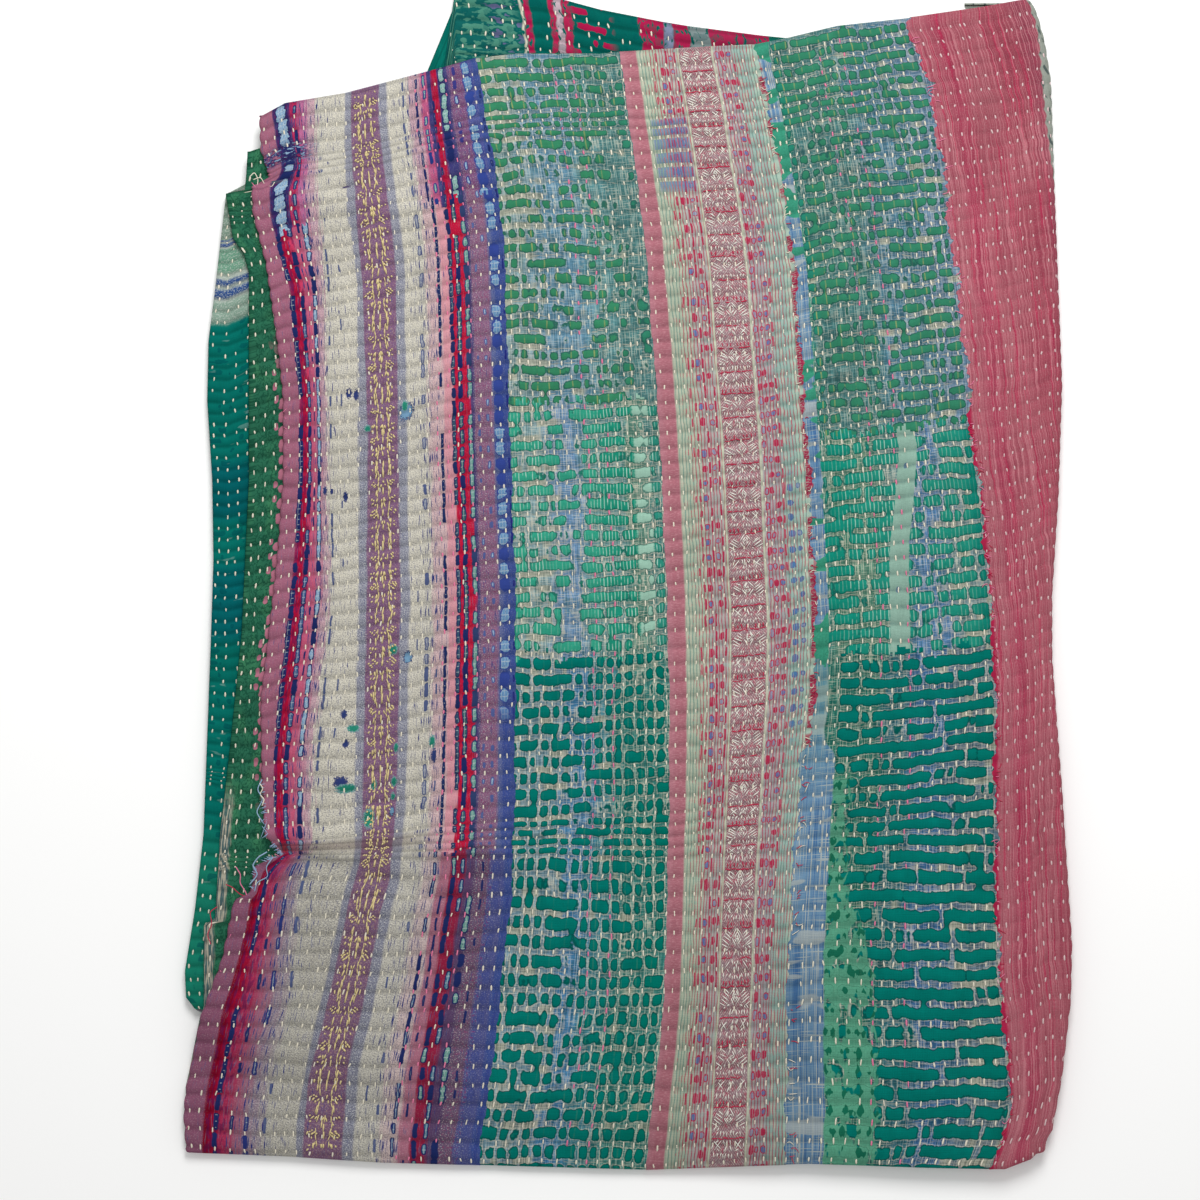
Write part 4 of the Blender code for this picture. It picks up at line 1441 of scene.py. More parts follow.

# %% [markdown]
# ## The centre band and the pink panel
#
# The centre band is a second length of the sari's border, with a mauve stripe, a brocade ground, and a
# ragged row of blue plaid patches down its right side. The pink panel at the right fold is a plainer
# cloth that has shrunk into fine wrinkles, with crimson streaks where its dye has pooled. The wrinkles
# are finer than any mesh here, so one stretched noise gives both their relief and a painted highlight
# on their crests, with painted shade in the hollows between.

# %% Paint the centre band and the pink panel
CENTRE_STRIPES = (
    (0, 0, dye(184, 122, 134)), (317, 1.5, dye(178, 112, 124)), (327, 0.7, dye(180, 190, 168)),
    (338, 2, dye(176, 190, 170)), (346, 3, dye(178, 176, 172)), (361, 0.3, dye(200, 208, 184)),
    (363.2, 0.4, dye(150, 112, 120)), (391.2, 0.4, dye(198, 204, 182)), (393.2, 0.4, dye(172, 168, 170)),
    (408, 3, dye(158, 184, 174)), (421.5, 1, dye(172, 196, 180)), (430.4, 0.4, dye(182, 130, 136)),
)
BLUE_GREY, WINDOW_BLUE, HOLE_RED = dye(136, 154, 180), dye(80, 124, 174), dye(182, 50, 82)
DULL_BLUE = dye(84, 112, 158)
CENTRE_HOLES = (
    (339.5, 0.6, 0.3, 0.45, HOLE_RED, HOLE_RED), (343.2, 0.9, 0.2, 0.6, HOLE_RED, HOLE_RED),
    (347.4, 2.5, 0.06, 0.76, HOLE_RED, WINDOW_BLUE), (351.6, 0.8, 0.3, 0.75, HOLE_RED, HOLE_RED),
    (355.6, 2.1, 0.05, 0.7, HOLE_RED, BLUE_GREY), (359.2, 0.8, 0.3, 0.75, HOLE_RED, HOLE_RED),
    (395.8, 1.9, 0.12, 0.84, HOLE_RED, BLUE_GREY), (400.2, 1.8, 0.06, 0.7, HOLE_RED, BLUE_GREY),
    (405.2, 2.4, 0.02, 0.84, HOLE_RED, WINDOW_BLUE), (409.2, 0.7, 0.26, 0.6, HOLE_RED, HOLE_RED),
    (414.2, 2.8, -0.06, 0.85, DULL_BLUE, WINDOW_BLUE), (420.6, 2, -0.02, 0.6, DULL_BLUE, BLUE_GREY),
    (427, 0.6, 0.2, 0.3, HOLE_RED, HOLE_RED),
)
MAUVE_END, GROUND, GROUND_MIDDLE = 328, (363.4, 391), 377.2  # mm across
STRANDED = ((328, 362), (393, 428))  # where strands of warp are left, beside the ground
BLUE_FROM, BLUE_ROWS = 411, (31, 47)  # past here, holes are blue and lie in these rows only
CLUSTER_ROWS, CLUSTER = (5.2, 10.8), (331, 360)  # blue squares at the top
# How far the gaps between strands are crimson.
GAPS_RED = ((327, 0.1), (336, 0.25), (342, 0.45), (362, 0.4), (392, 0.45), (412, 0.35), (428, 0.3))
PINK_STRIPES = (
    (0, 0, dye(188, 106, 122)), (571.5, 1, dye(178, 102, 114)), (585, 4, dye(176, 76, 98)),
    (597, 5, dye(174, 96, 108)), (624, 6, dye(168, 84, 98)), (650, 6, dye(154, 78, 94)),
)


def centre_band_paint(across, down, line, row):
    place = across + waver(across * 0.05, row * 0.5, 2, 2.2)
    colour = stripes(place, CENTRE_STRIPES)
    slub = noise(across / 3, down / 0.8, 33)
    on_mauve = ease(place, MAUVE_END, MAUVE_END - 1)
    colour = cover(on_mauve * ease(slub, 0.5, 0.62) * 0.5, colour, dye(208, 150, 158))
    on_ground = between(place, *GROUND, 0.4)
    mottle = noise(across / 2.2, down / 4, 35)
    bands = noise(across * 0.05, down / 7, 36)
    colour = cover(on_ground * ease(mottle, 0.5, 0.62) * 0.6, colour, dye(188, 62, 96))
    colour = cover(on_ground * ease(bands, 0.5, 0.62) * 0.4, colour, dye(168, 150, 158))
    from_middle = (across - GROUND_MIDDLE).size()
    wave = ((down - from_middle * 1.2) / 2.4 + mottle).math("FRACT")
    split = noise(across / 0.8, down / 2.2, 39)
    stroke = between(wave, 0.1, 0.6, 0.12) * ease(split, 0.45, 0.52)
    colour = cover(on_ground * stroke * 0.75, colour, dye(216, 200, 192))
    dash, core, dark, pale = hole_columns(across, row, CENTRE_HOLES, 200)
    blue_rows = 1 - ease(across, BLUE_FROM, BLUE_FROM + 0.4) * (1 - between(row, *BLUE_ROWS, 1))
    dash = dash * (1 - on_ground) * (1 - on_mauve) * blue_rows
    colour = cover(dash, colour, dark)
    colour = cover(core * (1 - on_ground) * blue_rows * 0.9, colour, pale)
    (fine,) = use(pinstripes, across, row, 1.9, 0.2, 37)
    colour = cover(dash * fine * 0.6, colour, dye(206, 212, 214))
    gap, pick, length = use(strands, across, row, 2.6, 38)
    stranded = between(place, *STRANDED[0], 0.8).most(between(place, *STRANDED[1], 0.8))
    reddish = level(place, GAPS_RED)
    gap_dye = cover(ease(length + reddish, 0.75, 0.85), dye(112, 150, 140), dye(184, 50, 84))
    colour = cover(gap * stranded * (1 - dash * 0.6) * 0.8, colour, gap_dye)
    cream = ease(pick, 0.6, 0.62) * ease(length, 0.45, 0.6) * (1 - gap)
    colour = cover(cream * stranded * (1 - dash) * 0.5, colour, THREAD_CREAM)
    run = ease(noise(row * 0.5, 3, 34) + 0.1 * ease(row, 8, 30), 0.52, 0.55)
    torn = ease(across + 4 * noise(row * 0.9, 1, 32), 428.6, 429.4) * run
    colour = cover(torn * (0.4 + 0.6 * ease(slub, 0.4, 0.5)), colour, dye(164, 44, 78))
    cluster = between(row, *CLUSTER_ROWS, 0.4) * between(across, *CLUSTER, 1)
    squares = ease(off_row(row), 0.35, 0.5)
    colour = cover(cluster * squares * (1 - gap) * 0.75, colour, dye(84, 118, 162))
    # Painted shade: darker towards the bottom, where less light falls.
    colour = tone(colour, 1 - 0.11 * ease(row, 50, 64))
    return colour, dash * -0.35 + slub * on_mauve * 0.3 - 0.35 * gap * stranded


def sliver_edge():
    """How far across the pink cloth ends at each row, in dm as measured: a little past the fold, and
    less far at the top, where the cloth below it shows."""
    rows = np.array([-1, 1.5, 4, 6.3, 9, 11.7, 14, 16])
    past = np.array([2.4, 2.4, 0, -1.8, 0.6, 4, 10, 40])
    return [(row, measured(FOLD_AT, row) / 100 + mm / 100) for row, mm in zip(rows, past)]


SLIVER_EDGE = sliver_edge()


def pink_paint(across, down, line, row):
    sway = waver(across * 0.03, row * 0.9, 4, 4.5)
    place = across + sway
    colour = stripes(place, PINK_STRIPES)
    broad = noise(place / 15, row * 0.07, 41)
    colour = tone(colour, 0.82 + 0.36 * broad - 0.12 * ease(row, 15, 6))
    streak = noise(place / 2.4, row * 0.1, 42)
    colour = cover(ease(streak, 0.55, 0.66) * 0.75, colour, dye(186, 46, 84))
    wrinkle = noise(place / 0.8, row * 0.14, 44, detail=1)
    # Painted highlight on the wrinkles' crests, and painted shade in their hollows.
    colour = cover(ease(wrinkle, 0.5, 0.66) * 0.6, colour, dye(212, 142, 150))
    colour = cover(ease(wrinkle, 0.46, 0.32) * 0.5, colour, dye(146, 50, 74))
    dotted = noise(across / 0.9, down / 1.3, 47)
    colour = cover(ease(dotted, 0.58, 0.68) * 0.45, colour, dye(176, 44, 78))
    colour = cover(ease(dotted, 0.42, 0.32) * 0.45, colour, dye(206, 138, 146))
    ragged = noise(across * 0.1, row * 1.6, 46)
    low = ease(row, 24, 34)
    patches = ease(noise(row * 0.35, 2, 45) + low * 0.4, 0.56, 0.62)
    edge = ease(across + ragged * 5, 575, 571.5)
    colour = cover(edge * patches, colour, dye(180, 40, 78))
    scallop = off_row(row) * 1.2 + ragged * 2
    bare = ease(across - level(row, SLIVER_EDGE) * 100 - scallop, -1, 0.2)
    marked = ease(noise(across / 4, row * 1.1, 48), 0.56, 0.62)
    below = cover(marked * 0.8, dye(158, 164, 154), dye(52, 74, 76))
    colour = cover(bare, colour, below)
    return colour, wrinkle * 1.1 + ragged * 0.2


centre_band_cloth = fabric("centre band", centre_band_paint, trough=0.22, patchy=0.14)
pink_cloth = fabric("pink panel", pink_paint, trough=0.07, patchy=0.12)

# %% [markdown]
# ## The cloths below
#
# The reverse of the quilt is a plain green cotton, which shows along the left where leaf 2 looks out
# from under leaf 1. Leaf 3 shows the face again: at the left as a narrow edge of teal and pale
# stripes, and at the top as a corner of teal with crimson ends. Its colours change from row to row, so
# its stripes are laid down the cloth instead of across it.

# %% Paint the lower leaves
LEAF_TWO_GREEN, LEAF_THREE_TEAL = dye(46, 110, 84), dye(6, 114, 104)
WHITISH, EDGE_BLUE = dye(172, 184, 174), dye(44, 80, 140)
# Leaf 3's left edge, from its top row down. Here a stripe begins at a row, not at so many mm.
EDGE_STRIPES = (
    (0, 0, dye(128, 152, 136)), (4.4, 0.1, EDGE_BLUE), (4.8, 0.1, WHITISH), (5.2, 0.1, EDGE_BLUE),
    (6, 0.1, WHITISH), (6.4, 0.15, dye(110, 158, 134)), (8.9, 0.15, WHITISH), (9.4, 0.1, EDGE_BLUE),
    (9.9, 0.1, WHITISH), (10.2, 0.1, EDGE_BLUE), (10.9, 0.1, WHITISH), (11.2, 0.15, dye(136, 164, 148)),
    (13.1, 0.2, LEAF_THREE_TEAL), (25.4, 0.6, dye(4, 98, 102)), (30.2, 0.6, LEAF_THREE_TEAL),
    (34.3, 0.6, dye(4, 100, 104)), (41, 1, LEAF_THREE_TEAL), (59, 2, dye(26, 128, 106)),
)
# The corner's crimson bars: where each begins and ends, in mm across, and its dye.
CORNER_BARS = (
    (235.5, 237.5, THREAD_CREAM), (238.5, 243.5, dye(180, 30, 80)), (258, 263, dye(184, 40, 84)),
    (263, 269, dye(200, 176, 186)), (269, 276, dye(184, 40, 84)), (328, 348, dye(172, 30, 76)),
    (348, 355, dye(128, 138, 164)), (355, 367, dye(172, 34, 78)), (367, 383, dye(126, 142, 142)),
    (383, 450, dye(168, 40, 80)),
)
UNDER_STRIPES = (
    (0, 0, dye(92, 84, 116)), (192, 4, dye(40, 128, 112)), (312, 4, dye(138, 96, 120)),
    (430, 4, dye(40, 132, 110)), (566, 3, dye(186, 84, 108)), (700, 4, dye(20, 120, 104)),
    (860, 4, dye(150, 92, 116)), (960, 4, dye(10, 114, 102)), (1230, 4, dye(150, 150, 160)),
)


def hem_over_leaf_two():
    """How far leaf 1's hem lies from leaf 2's edge, in cm, at each row of leaf 2."""
    rows = np.arange(8, 56, 4)
    x, y = plan(rows, 1, 1, share=np.zeros(len(rows)))
    return [(row, (edge - here) / MM / 10) for row, edge, here in zip(rows, read(LEFT_EDGE[1], y), x)]


HEM_OVER_LEAF_TWO = hem_over_leaf_two()


def reverse_paint(across, down, line, row):
    wear = noise(across * 0.08, row * 0.35, 81)
    colour = cover(ease(wear, 0.45, 0.7), LEAF_TWO_GREEN, dye(62, 128, 92))
    oval, _ = use(worn_dash, across - 33, row, 2.6, 0.08, 0.3, 83)
    colour = cover(oval * 0.8, colour, dye(0, 84, 84))
    scale = noise(line * 2.4, row * 2.4, 84)
    colour = cover(ease((scale - 0.5).size(), 0.05, 0.02) * 0.7, colour, dye(18, 72, 54))
    torn = ease(across + 8 * noise(row * 0.8, 1, 86), 12, 9) * ease(row, 46, 49)
    shred = noise(across / 1.1, row * 0.7, 82)
    torn_dye = cover(ease(shred, 0.46, 0.54), dye(84, 104, 112), dye(196, 186, 168))
    colour = cover(torn * 0.8, colour, torn_dye)
    beside = across - level(row, HEM_OVER_LEAF_TWO) * 10
    blob, _ = use(worn_dash, beside + 3.4, row, 2.6, 0.16, 0.9, 98)
    small, _ = use(worn_dash, beside + 8.2, row + 0.4, 1.6, 0.12, 0.6, 99)
    pinked = blob.most(small) * between(row, 17, 47, 2)
    colour = cover(pinked * 0.9, colour, dye(196, 118, 142))
    return colour, oval * -0.3 + pinked * 0.4 + scale * 1.2


def edge_paint(across, down, line, row):
    wander = row + waver(across * 0.12, row * 0.6, 85, 0.4)
    colour = stripes(wander, EDGE_STRIPES)
    window, _, _ = use(worn_windows, line, row, 3.4, 2.4, 0.97, 0.7, 0.4, FAR, 87)
    lower = ease(row, 12.8, 13.4)
    colour = cover(window * 0.55 * lower, colour, dye(0, 78, 84))
    lace = noise(across / 1.2, down / 1.4, 88)
    colour = cover(ease(lace, 0.5, 0.6) * 0.45 * (1 - lower), colour, dye(214, 220, 210))
    pale = ease(noise(row * 1.7, across * 0.05, 89), 0.66, 0.7) * lower
    return cover(pale * 0.5, colour, dye(120, 170, 160)), window * -0.3


def corner_paint(across, down, line, row):
    """The corner at the top, whose crimson bars run down the cloth."""
    sway = waver(across * 0.03, row * 0.7, 91, 10)
    place = across + sway
    colour = cover(ease(place, 236, 228), dye(4, 98, 90), dye(18, 96, 92))
    patch = noise(across * 0.1, row * 2.6, 93)
    left_part = ease(place, 236, 228)
    colour = cover(left_part * ease(patch, 0.5, 0.53) * 0.75, colour, dye(86, 150, 128))
    lilac = between(place, 208, 236, 5) * ease(patch, 0.42, 0.38)
    colour = cover(lilac * 0.8, colour, dye(108, 104, 148))
    tatter = noise(place / 3, row * 1.6, 94)
    for begins, ends, colour_here in CORNER_BARS:
        bar = between(place, begins, ends, 0.8) * ease(tatter, 0.38, 0.44)
        colour = cover(bar, colour, colour_here)
    window, _, _ = use(worn_windows, line, row, 3.2, 2, 0.9, 0.6, 0.3, FAR, 95)
    crimson = between(place, 276, 306, 5) * ease(row, 7.5, 6)
    colour = cover(crimson * window, colour, dye(176, 26, 76))
    return cover(window * 0.35 * (1 - crimson), colour, dye(0, 84, 84)), window * -0.3


def underside_paint(across, down, line, row):
    """The rest of the face: its wide stripes go on, but no place of it is seen from above."""
    colour = stripes(across, UNDER_STRIPES)
    window, _, _ = use(worn_windows, line, row, 2.9, 1.3, 0.97, 0.5, 0.2, FAR, 97)
    return cover(window * 0.5, colour, dye(2, 96, 88)), window * -0.3


reverse_cloth = fabric("reverse", reverse_paint, trough=0.25, patchy=0.2)
edge_cloth = fabric("leaf three edge", edge_paint, trough=0.25, patchy=0.2)
corner_cloth = fabric("leaf three corner", corner_paint, trough=0.25, patchy=0.2)
underside_cloth = fabric("underside", underside_paint, trough=0.3, patchy=0.2)

# %% [markdown]
# ## The folded sheet
#
# The batting and all inner cloths are one thick sheet, closed all round, that follows every fold. A
# Solidify modifier could thicken a single surface, but here the two faces lie at different depths:
# where a finer panel is laid over one, it lies 1.3 mm lower, so that the two never meet. So there is
# one grid for each face of the unfolded cloth, and they share the ring of points at the hems.

# %% Build the sheet
UNDER_PANEL = 1.3 * MM  # how much lower the sheet lies where a panel covers it
OWN_DEPTH = 0.5 * MM  # how much lower its own ribs lie, so that none goes under the floor
RUN = 640  # mm from a leaf's left edge to the fold's axis, on the whole
SHEET_HEM = 1.2 * MM  # radius of the sheet's own hems, a little under that of the cloth on it
OWN_RIBS_END, OWN_RIBS_FADE = 0.84, 0.06  # shares of leaf 4's run, over which its own ribs run out
INNER_RIBS = 0.4  # the inner face's share of the ribs
LOWER_COLUMNS, TURN_COLUMNS, UPPER_COLUMNS = 18, 10, 32
ROLL = np.array([np.pi / 2, np.pi / 4])

# Column by column, from leaf 4's left hem round the right fold to leaf 1's: the share of the run, how
# far the fold has turned it over, and how far it has rolled round a hem. Then the same row by row.
across_share = np.concatenate([
    [0, 0], np.linspace(0, 1, LOWER_COLUMNS), np.ones(TURN_COLUMNS), np.linspace(1, 0, UPPER_COLUMNS), [0, 0],
])
across_turned = np.concatenate([
    np.zeros(LOWER_COLUMNS + 2), np.linspace(0, 1, TURN_COLUMNS + 2)[1:-1], np.ones(UPPER_COLUMNS + 2),
])
across_roll = np.concatenate([ROLL, np.zeros(LOWER_COLUMNS + TURN_COLUMNS + UPPER_COLUMNS), ROLL[::-1]])
sheet_across = np.where(
    across_turned == 1, across_share * FOLD_AT,
    FOLD_AT + (1 - across_turned) * TURN_LENGTH + (1 - across_share) * FOLD_AT,
)
half_rows = np.linspace(0, STITCH_ROWS, 3 * STITCH_ROWS + 1)
FOLD_ROWS = 8
down_row = np.concatenate([[0, 0], half_rows, np.full(FOLD_ROWS, STITCH_ROWS), half_rows[::-1], [0, 0]])
down_folded = np.concatenate([
    np.zeros(len(half_rows) + 2), np.linspace(0, 1, FOLD_ROWS + 2)[1:-1], np.ones(len(half_rows) + 2),
])
down_roll = np.concatenate([ROLL, np.zeros(2 * len(half_rows) + FOLD_ROWS), ROLL[::-1]])
sheet_down = np.where(down_folded < 1, down_row + down_folded, 2 * STITCH_ROWS + 1 - down_row)


def sheet_face(outside):
    """One face of the sheet, as a lattice of points."""
    row, folded, top_roll = (values[:, None] for values in (down_row, down_folded, down_roll))
    shares = leaf_shares(across_turned, folded)
    near_fold = np.clip((across_share - OWN_RIBS_END) / OWN_RIBS_FADE, 0, 1) + (across_turned > 0)
    own = shares[4] * (1 - np.clip(near_fold, 0, 1))
    rib = np.abs(np.sin(np.pi * sheet_down[:, None])) - 1
    if outside:
        side = HEM_RADIUS - UNDER_PANEL + own * (UNDER_PANEL - OWN_DEPTH + RIB_RISE * rib)
    else:
        side = -HEM_RADIUS + UNDER_PANEL * shares[2] - INNER_RIBS * RIB_RISE * rib * (1 - shares[2])
    points = fold_share(across_share, row, across_turned, folded, side, across_roll, top_roll, SHEET_HEM)
    return points + SHIFT


outside, inside = sheet_face(True), sheet_face(False)
sheet_rows, sheet_columns = outside.shape[:2]
outside_corners = lattice_corners(sheet_rows, sheet_columns)
inside_corners = lattice_corners(sheet_rows, sheet_columns, first=outside[..., 0].size)[:, ::-1]
on_hem = np.ones((sheet_rows, sheet_columns), bool)
on_hem[1:-1, 1:-1] = False
shared = np.arange(2 * on_hem.size)
shared[on_hem.size :][on_hem.ravel()] = np.flatnonzero(on_hem)
sheet_corners = shared[np.concatenate([outside_corners, inside_corners])]
kept, sheet_corners = np.unique(sheet_corners, return_inverse=True)
sheet_corners = sheet_corners.reshape(-1, 4)
sheet_points = np.concatenate([outside.reshape(-1, 3), inside.reshape(-1, 3)])[kept]
flat_grid = np.stack(np.broadcast_arrays(sheet_across, sheet_down[:, None]), -1).reshape(-1, 2)
flat_grid = np.concatenate([flat_grid, flat_grid])[kept]
sheet_maps = {
    "cloth": flat_grid * (MM, ROW_PITCH * MM),
    "sewing": np.stack([flat_grid[:, 0] / LINE_GAP, flat_grid[:, 1]], -1) * 0.01,
}
quilt_sheet = new_mesh("quilt_sheet", sheet_points, sheet_corners, sheet_maps, underside_cloth)
quilt_sheet.data.materials.append(reverse_cloth)
which_face = np.zeros(len(sheet_corners), np.int32)
which_face[len(outside_corners) :] = 1
quilt_sheet.data.polygons.foreach_set("material_index", which_face)
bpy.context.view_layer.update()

# %% [markdown]
# ## The panels
#
# Each width of cloth is a lattice with a point every 1.7 mm, and seven to a row of stitches, so the
# puffs and puckers are real. Neighbours overlap by a few millimetres, as they do under a seam, and the
# bands lie a little over the fields. Where a cloth has torn along its edge, the lattice's own border
# wanders, so that the edge is ragged in its shape and not only in its colour.

# %% Lay the panels
POINT_GAP = 1.7  # mm
POINTS_A_ROW = 7
HEM_ACROSS = -4.4  # mm: as far as the cloth rolls round a hem


def lower_leaf(leaf, across, row, proud=0):
    """Points on the side of leaf 2 or 3 that looks up, in mm from its left edge."""
    turned, up = {2: (1, -1), 3: (0, 1)}[leaf]
    side_roll, top_roll, on_hem = hem_roll(across, row)
    side = up * (HEM_RADIUS + on_hem * (swell(across, row) + proud))
    share = np.clip(across, 0, None) / RUN
    row = np.clip(row, 0, STITCH_ROWS)
    return fold_share(share, row, turned, 1, side, side_roll, top_roll, HEM_RADIUS + proud) + SHIFT


leaf_two, leaf_three = partial(lower_leaf, 2), partial(lower_leaf, 3)


def tear(depth, seed):
    """A torn edge's course: how far it lies from true, in mm, at each row."""
    lengths = (0.9, 2.3, 6.1, 13.7)
    phases = np.random.default_rng(seed).random(len(lengths)) * 2 * np.pi
    heights = np.arange(1, len(lengths) + 1) ** -0.5

    def course(row):
        waves = zip(lengths, phases, heights)
        return depth * sum(height * np.sin(row * length + phase) for length, phase, height in waves) / 2

    return course


def torn_low(row):
    """The centre band's right edge, which is torn further in below row 48."""
    return tear(2.6, 5)(row) - 6 * np.clip((row - 47.8) / 0.5, 0, 1)


def straight(row):
    """An edge that has not torn."""
    return 0


def panel(
    name, surface, start, end, cloths, proud=0, last_row=DOWN["to"], left=straight, right=straight,
    zones=(),
):
    """A width of cloth, from start to end in mm across, with its two side edges' courses. It changes
    from one of its cloths to the next at the rows in zones."""
    first_row = DOWN["from"]
    row = np.linspace(first_row, last_row, round((last_row - first_row) * POINTS_A_ROW))[:, None]
    first, last = start + left(row), end + right(row)
    across = first + (last - first) * np.linspace(0, 1, round((end - start) / POINT_GAP) + 1)
    row, across = np.broadcast_arrays(row, across)
    maps = {
        "cloth": np.stack([measured(across, row) * MM, row * ROW_PITCH * MM], -1),
        "sewing": np.stack([line_number(across, row), row_number(across, row)], -1) * 0.01,
    }
    made = woven(name, surface(across, row, proud), maps, cloths[0])
    for cloth in cloths[1:]:
        made.data.materials.append(cloth)
    wander = (row + 0.5 * tear(1, 8)(across / 6))[:-1, :-1]
    zone = sum((wander > border).astype(np.int32) for border in zones) + np.zeros(wander.shape, np.int32)
    made.data.polygons.foreach_set("material_index", zone.ravel())
    print(f"{name}: {2 * len(made.data.polygons):,} triangles")
    return made


UNDER_END = FOLD_AT + TURN_LENGTH + 45  # how far the pink panel runs on under the fold
panels = [
    panel("left_field", leaf_one, 189, 316, left_field_cloths, zones=ZONE_B),
    panel("right_field", leaf_one, 410, 574, right_field_cloths, zones=ZONE_C),
    panel(
        "left_band", leaf_one, HEM_ACROSS, 192, left_cloths, 0.25 * MM, right=tear(1.2, 3),
        zones=(10.3, 54),
    ),
    panel(
        "centre_band", leaf_one, 312.8, 430.5, [centre_band_cloth], 0.3 * MM, left=tear(0.8, 4),
        right=torn_low,
    ),
    panel("pink_panel", leaf_one, 568.8, UNDER_END, [pink_cloth], 0.4 * MM, left=tear(3, 6)),
    panel("leaf_two_strip", leaf_two, HEM_ACROSS, 58, [reverse_cloth]),
    panel("leaf_three_edge", leaf_three, HEM_ACROSS, 50, [edge_cloth]),
    panel("leaf_three_corner", leaf_three, 46, 430, [corner_cloth], last_row=9),
]

# %% [markdown]
# ## The running stitches
#
# Each stitch is a short thick thread that lies down the cloth, across a trough, where a line of
# stitching and a row meet. Painted stitches would be lost in the troughs' shade, so these are meshes.
# Lines and rows wander over the cloth, so no formula gives a stitch's place: it is guessed first, and
# then corrected a dozen times by how far the grid's own numbers are off there. Some stitches have worn
# through and are left out, and no two are quite the same length.

# %% Sew the stitches
STITCH_LENGTH, STITCH_WIDTH = 4.1, 0.75  # mm, and the width is half of the thread's
STATIONS = 5  # points along a stitch
STITCH_HEIGHT, ENDS_SINK = 0.55 * MM, 0.45 * MM  # above the cloth in its middle, and less at its ends
STITCH_TAPER = np.array([0.45, 0.9, 1, 0.9, 0.45])
NEVER_PAST = 22  # mm round the right fold, beyond which no stitch shows
CORRECTIONS = 12
TUCK_HIDES = 0.75  # the share of stitches that a tuck hides
DEEP_IN_TUCK, TUCK_END = 0.6, 60  # so deep, and up to so many mm across, it hides them all
FIBRE_SCALE, PATCH_SCALE = 900, 14  # fibres and paler patches to a metre
FIBRE_DEPTH = 0.2 * MM


def plain_thread(name, red, green, blue, roughness=0.8):
    """A thread's material: its own dye, with fibres running along it as fine bumps."""
    material, shader = new_material(name)
    place = node("ShaderNodeTexCoord").outputs["Object"]
    fibre, patch = (placed("ShaderNodeTexNoise", place, 0, scale) for scale in (FIBRE_SCALE, PATCH_SCALE))
    join(tone(dye(red, green, blue), 0.78 + 0.2 * fibre + 0.26 * patch), shader.inputs["Base Color"])
    bump = node("ShaderNodeBump")
    bump.inputs["Distance"].default_value = FIBRE_DEPTH
    join(fibre, bump.inputs["Height"])
    join(bump.outputs[0], shader.inputs["Normal"])
    shader.inputs["Roughness"].default_value = roughness
    return material


cream_thread = plain_thread("cream thread", 218, 211, 192)
pink_thread = plain_thread("pink thread", 216, 116, 150)
stained_thread = plain_thread("stained thread", 206, 178, 178)
yellow_thread = plain_thread("yellow thread", 206, 188, 136)
white_thread = plain_thread("white thread", 222, 220, 210, 0.6)
crimson_thread = plain_thread("crimson thread", 176, 26, 66)
blue_thread = plain_thread("pale blue thread", 140, 168, 196)


def on_grid(line, row):
    """The place across and down where a line of stitching meets a row."""
    across = np.interp(line, np.arange(LINE_COUNT), LINES_AT)
    down = np.array(row, float)
    for _ in range(CORRECTIONS):
        across = across + (line - line_number(across, down)) * LINE_GAP * 0.6
        down = down + row - row_number(across, down)
    return across, down


def bridge(surface, across, row, length, lean):
    """Paths of stitches that bridge a trough. Length and lean are in mm, down and across."""
    along = np.linspace(-0.5, 0.5, STATIONS)
    path_across = across[:, None] + lean[:, None] * along
    path_row = row[:, None] + length[:, None] * along / ROW_PITCH
    arch = STITCH_HEIGHT - ENDS_SINK * (2 * along) ** 4
    flat = surface(path_across, path_row)
    middle = flat[:, STATIONS // 2 : STATIONS // 2 + 1]
    flat[..., 2] = 0.7 * flat[..., 2] + 0.3 * middle[..., 2] + arch
    return flat


def sew(name, surface, lines, rows, keep, material, length=STITCH_LENGTH):
    """The stitches where these lines and rows meet, as one mesh."""
    luck = np.random.default_rng(len(name) * 1000 + len(lines))
    line, row = [values.ravel().astype(float) for values in np.meshgrid(lines, rows)]
    kept = luck.random(len(line)) < keep
    line, row = line[kept], row[kept]
    across, down = on_grid(line, row)
    in_tuck = tucked(across, down) * (surface is leaf_one)
    clear = (luck.random(len(line)) > TUCK_HIDES * in_tuck) & (across < FOLD_AT + NEVER_PAST)
    clear &= (in_tuck < DEEP_IN_TUCK) | (across > TUCK_END)
    across, down = across[clear], down[clear]
    count = len(across)
    across = across + luck.normal(0, 0.7, count)
    lengths = length * (0.75 + 0.5 * luck.random(count))
    paths = bridge(surface, across, down, lengths, luck.normal(0, 0.35, count))
    radius = STITCH_WIDTH * MM * (0.8 + 0.4 * luck.random(count))[:, None] * STITCH_TAPER
    made = threads(name, paths, radius, 4, material, flatness=0.7)
    print(f"{name}: {count:,} stitches")
    return made


